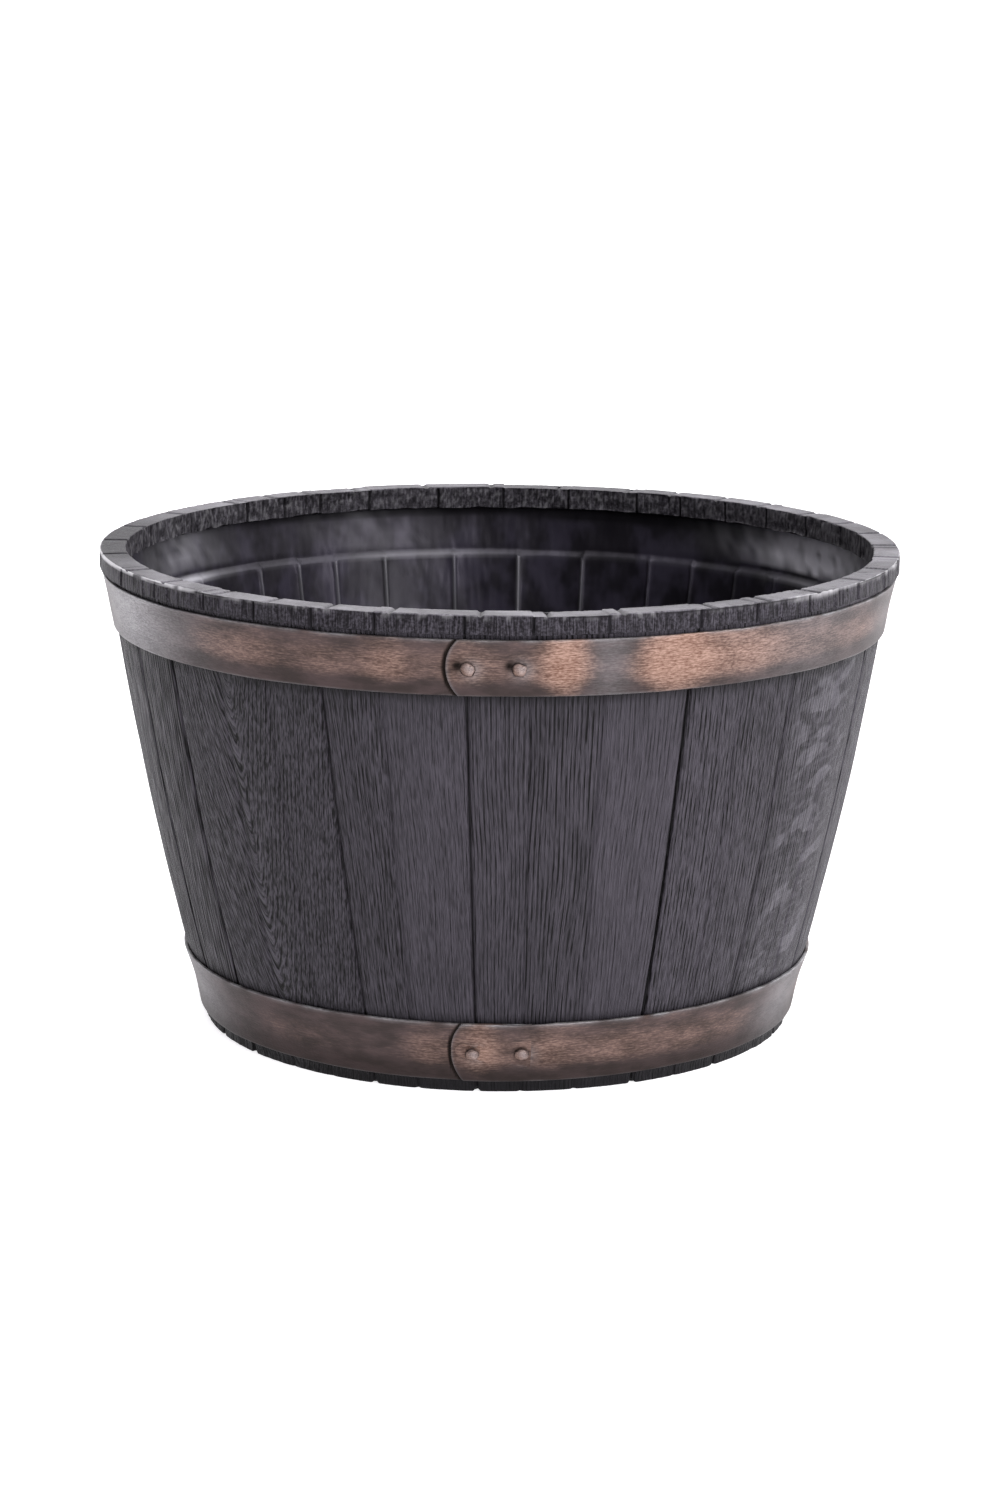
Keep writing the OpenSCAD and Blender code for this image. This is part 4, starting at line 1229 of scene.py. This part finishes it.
# %% Make a hoop
def make_band(name, place, hollow, low_shade, patches, bare_and_sheen, seed):
    """A strip on the grid of path turn by closed section, with a rounded tip, dents and dimples."""
    z_low, z_high, lap_x = place
    height, mid_r = z_high - z_low, wall_r((z_low + z_high) / 2)
    tip = math.degrees(math.asin(lap_x / mid_r))
    under_turn = math.degrees(math.asin((lap_x + RIVET_INSET + RIVET_PITCH + LAP_UNDER) / mid_r)) - tip
    turn = strip_turns(under_turn)
    t = section_heights(height)[None, :]
    warp = tip_warp(turn, (t - 0.5) * height, mid_r)
    angle = tip + turn + warp

    way = (turn + warp) / 360 * 2000                   # along the strip, where one turn is 2000
    edge_wave = 0.35 * MM * (noise(way / 40, 0.5, seed, 50) * (1 - t) + noise(way / 33, 3.5, seed, 61) * t)
    z = z_low + 0.35 * MM + t * (height - 0.7 * MM) + edge_wave
    dents = 0.28 * noise(way / 18, t * 2.2, seed + 1, 111) + 0.10 * noise(way / 4, t * 8, seed + 2, 500)
    dimples, halo = pressed(np.radians(turn) * mid_r, ((t - 0.54) * height, (t - 0.47) * height))
    crease = np.exp(-((angle - 360 - tip - warp[0] + 0.12) / 0.48) ** 4)
    middle = np.sin(np.pi * t)
    rounded = edge_round(t * height) + edge_round((1 - t) * height)
    over = HOOP_GAP + HOOP_T + np.where(turn < 180, lap_rise(turn + warp), 0)
    outer = over - 0.12 * MM + dents * MM * middle - hollow * middle ** 1.5 - rounded
    outer = outer - edge_round(np.radians(turn) * mid_r, 1.1 * MM) - dimples - 0.6 * MM * crease
    outer = np.where(turn > 360, HOOP_GAP + HOOP_T - rounded, outer)
    lifted = np.where(turn < 180, HOOP_T + LAP_GAP, 0) * (1 - ramp(under_turn + 0.6, under_turn + 5, turn))
    inner = np.minimum(lifted + HOOP_GAP, outer - 0.25 * MM)

    ring_d = np.concatenate([outer, inner[:, ::-1]], axis=1)
    ring_z = np.concatenate([z, z[:, ::-1]], axis=1)
    ring_angle = np.concatenate([angle, angle[:, ::-1]], axis=1)
    ring_t = (ring_z - z_low) / height
    cone = wall_r(z_low) + (wall_r(z_high) - wall_r(z_low)) * ring_t
    points = around(cone + ring_d, ring_angle, ring_z).reshape(-1, 3)
    rows, cols = ring_z.shape
    step = np.arange(cols // 2 - 1)
    end = np.stack([step, step + 1, cols - 2 - step, cols - 1 - step], axis=1)
    quads = np.concatenate([grid_quads(rows, cols, ring_cols=True), end, end + (rows - 1) * cols])
    along = np.radians(ring_angle) * mid_r
    uv = np.stack([along.ravel()[quads], (ring_z - z_low).ravel()[quads]], axis=-1)

    pale = spots(ring_angle, bare_and_sheen)
    low_edge, top_edge = 1 - ramp(0.02, 0.38, ring_t), ramp(0.60, 0.90, ring_t)
    rub = spots(ring_angle, patches) - pale - 0.62 * low_edge - 0.20 * top_edge
    # pale along the top edge, a painted highlight, and worn at the low edge
    wear = bell((1 - ring_t) * height, 1.4 * MM) * (0.50 + 0.60 * noise(along / (9 * MM), 0.5, seed + 3))
    wear += 0.35 * bell(ring_t * height, 0.9 * MM) * (1 + noise(along / (12 * MM), 1.5, seed + 3))
    wear[:, :cols // 2] += 0.3 * bell(turn, 0.35) + 0.35 * halo
    # painted shade: the crease at the tip, the dimples beside the rivets and the band's low part
    dirt = np.zeros_like(ring_z)
    dirt[:, :cols // 2] = crease + dimples / (0.7 * MM) + low_shade * (1 - ramp(0.05, 0.50, t))
    values = {"rub": rub, "wear": np.clip(wear + pale, 0, 1), "dirt": np.clip(dirt, 0, 1)}
    return make_piece(name, points, quads, uv, values, [copper_finish])


# %% [markdown]
# The two hoops differ in more than size. The lower one is more hollow across its width and has more
# painted shade low on it. Where the copper took and where it is bare was read off the photograph for
# the half that shows, and made up in the same manner for the back. At the left and right ends the
# bare grey also paints the reflection there.

# %% Both hoops
# patches of copper, and of bare grey: (angle from the front, half width in degrees, strength)
UPPER_COPPER = [(-46, 6, 0.30), (-36, 8, 0.36), (-24, 5, 0.26), (-15, 4.5, 0.48), (-4, 5, 0.46),
                (3, 3, 0.15), (9, 3.8, 1.06), (24, 6, 1.15), (36, 8, 0.66), (50, 10, 0.48), (66, 10, 0.46),
                (92, 14, 0.6), (125, 16, 0.8), (160, 12, 0.45), (195, 18, 0.85), (235, 14, 0.5),
                (262, 10, 0.7)]
# in both bare lists the patches at the left and right ends also paint the reflection there
UPPER_BARE_AND_SHEEN = [(-67, 15, 1.0), (15, 3, 0.22), (50, 14, 0.20), (74, 10, 0.28), (145, 9, 0.5), (214, 8, 0.45)]
LOWER_COPPER = [(-38, 10, 0.14), (-12, 5, 0.36), (-3, 4, 0.62), (8, 7, 0.40), (22, 9, 0.34),
                (36, 8, 0.26), (50, 9, 0.25), (88, 12, 0.5), (120, 14, 0.7), (155, 16, 0.5),
                (190, 12, 0.75), (228, 15, 0.45), (265, 12, 0.6)]
LOWER_BARE_AND_SHEEN = [(-72, 13, 0.72), (66, 10, 0.5), (170, 9, 0.3)]

upper_band = make_band("upper_band", UPPER, 0.35 * MM, 0.22, UPPER_COPPER, UPPER_BARE_AND_SHEEN, 51)
finish_piece(upper_band, "hoop_bronze_finish", "upper_hoop")
lower_band = make_band("lower_band", LOWER, 1.2 * MM, 0.50, LOWER_COPPER, LOWER_BARE_AND_SHEEN, 61)
finish_piece(lower_band, "hoop_bronze_finish", "lower_hoop")

# %% [markdown]
# ## Rivets
# Each rivet is a turned shape: a spread tail, a shank and a head. A row is a radius and a height,
# carried round 48 columns. The head was hammered, so noise presses it out of round and one side of
# it is flattened. The lumps die away towards the crown, where all columns meet in one point.

# %% Shape of a rivet
HEAD_R, HEAD_H, SHANK_R, TAIL_R = 4.3 * MM, 2 * MM, 2.2 * MM, 3 * MM
HEAD_GAP = 0.12 * MM
RIVET_COLUMNS = 48


def rivet_rows(grip):
    """Radii and heights from the tail's centre, out and up the shank, round the head to its crown."""
    a = np.radians(np.linspace(0, 90, 14))
    r = np.concatenate([[0, TAIL_R, SHANK_R, SHANK_R, HEAD_R - 0.2 * MM], HEAD_R * np.cos(a)])
    z = np.concatenate([[0, 0, TAIL_R - SHANK_R, grip, grip], grip + HEAD_H * (0.12 + 0.88 * np.sin(a))])
    return r[:, None], z[:, None]


def hammered(r, z, grip, seed):
    """The rows carried round, with the head squashed, flattened on one side and lumpy."""
    angle = np.arange(RIVET_COLUMNS) * 360 / RIVET_COLUMNS
    head = ramp(grip - 0.1 * MM, grip + 0.3 * MM, z)
    squash = 0.14 * (ring_noise(angle, 6, seed + 0.5, 71) + ring_noise(angle, 12, z / (0.7 * MM) + seed, 72))
    flat_side = np.cos(np.radians(angle - 290 - 15 * seed)) * r / HEAD_R
    flat_top = 0.35 * HEAD_H * head * ramp(-0.2, 1.0, flat_side)
    lumps = 0.4 * MM * head * ring_noise(angle, 8, r / (1.5 * MM) + seed, 73) * ramp(0, 1.5 * MM, r)
    return angle, around(r * (1 - 0.04 * head + head * squash), angle, z - flat_top + lumps)


print("rivet head:", 2 * HEAD_R / MM, "mm across,", HEAD_H / MM, "mm high")

# %% [markdown]
# A rivet sits square on the sloping hoop. A matrix turns its axis from upright to the slope's
# normal, moves it out to the hoop and turns it round to its sideways place. It is applied to the
# points, so that the object itself stays at the origin.

# %% Make the rivets
def make_rivet(name, node, place, side_step, seed):
    """A rivet at the lap's tip + inset + side_step * pitch, as long as the lap is thick there."""
    z_low, z_high, lap_x = place
    z_mid, x = (z_low + z_high) / 2, lap_x + RIVET_INSET + side_step * RIVET_PITCH
    around_z, tip = math.asin(x / wall_r(z_mid)), math.asin(lap_x / wall_r(z_mid))
    grip = HOOP_T + float(lap_rise(math.degrees(around_z - tip))) + HEAD_GAP
    r, z = rivet_rows(grip)
    angle, local = hammered(r, z, grip, seed)
    rows, cols = local.shape[:2]
    local = local.reshape(-1, 3)
    lean = math.atan((wall_r(z_high) - wall_r(z_low)) / (z_high - z_low))
    mid_r = (wall_r(z_low) + wall_r(z_high)) / 2 + HOOP_GAP
    seat = np.array(Matrix.Rotation(around_z, 4, "Z") @ Matrix.Translation((0, -mid_r, z_mid))
                    @ Matrix.Rotation(math.pi / 2 + lean, 4, "X"))
    points = local @ seat[:3, :3].T + seat[:3, 3]
    quads = grid_quads(rows, cols, ring_cols=True)
    crown = ramp(grip + 0.2 * MM, grip + HEAD_H, z) + 0 * angle
    # painted light on the head: the crown is paler towards the light, a painted highlight, and painted shade
    # rings its foot, weaker on the lit side
    to_light = np.cos(np.radians(angle - 130)) * r / HEAD_R
    values = {"rub": 0.1 + 0.7 * crown, "wear": (0.35 + 0.35 * to_light) * crown ** 2,
              "dirt": np.clip(0.85 * (1 - ramp(0, 0.35, crown)) - 0.45 * to_light, 0, 0.9)}
    uv = 2.5 * local[quads][:, :, :2]                  # a finer pattern suits so small a piece
    rivet = make_piece(name, points, quads, uv, values, [copper_finish])
    finish_piece(rivet, "rivet_bronze_finish", node)


make_rivet("upper_left_rivet", "upper_rivet_left", UPPER, 0, 1)
make_rivet("upper_right_rivet", "upper_rivet_right", UPPER, 1, 2)
make_rivet("lower_left_rivet", "lower_rivet_left", LOWER, 0, 3)
make_rivet("lower_right_rivet", "lower_rivet_right", LOWER, 1, 4)
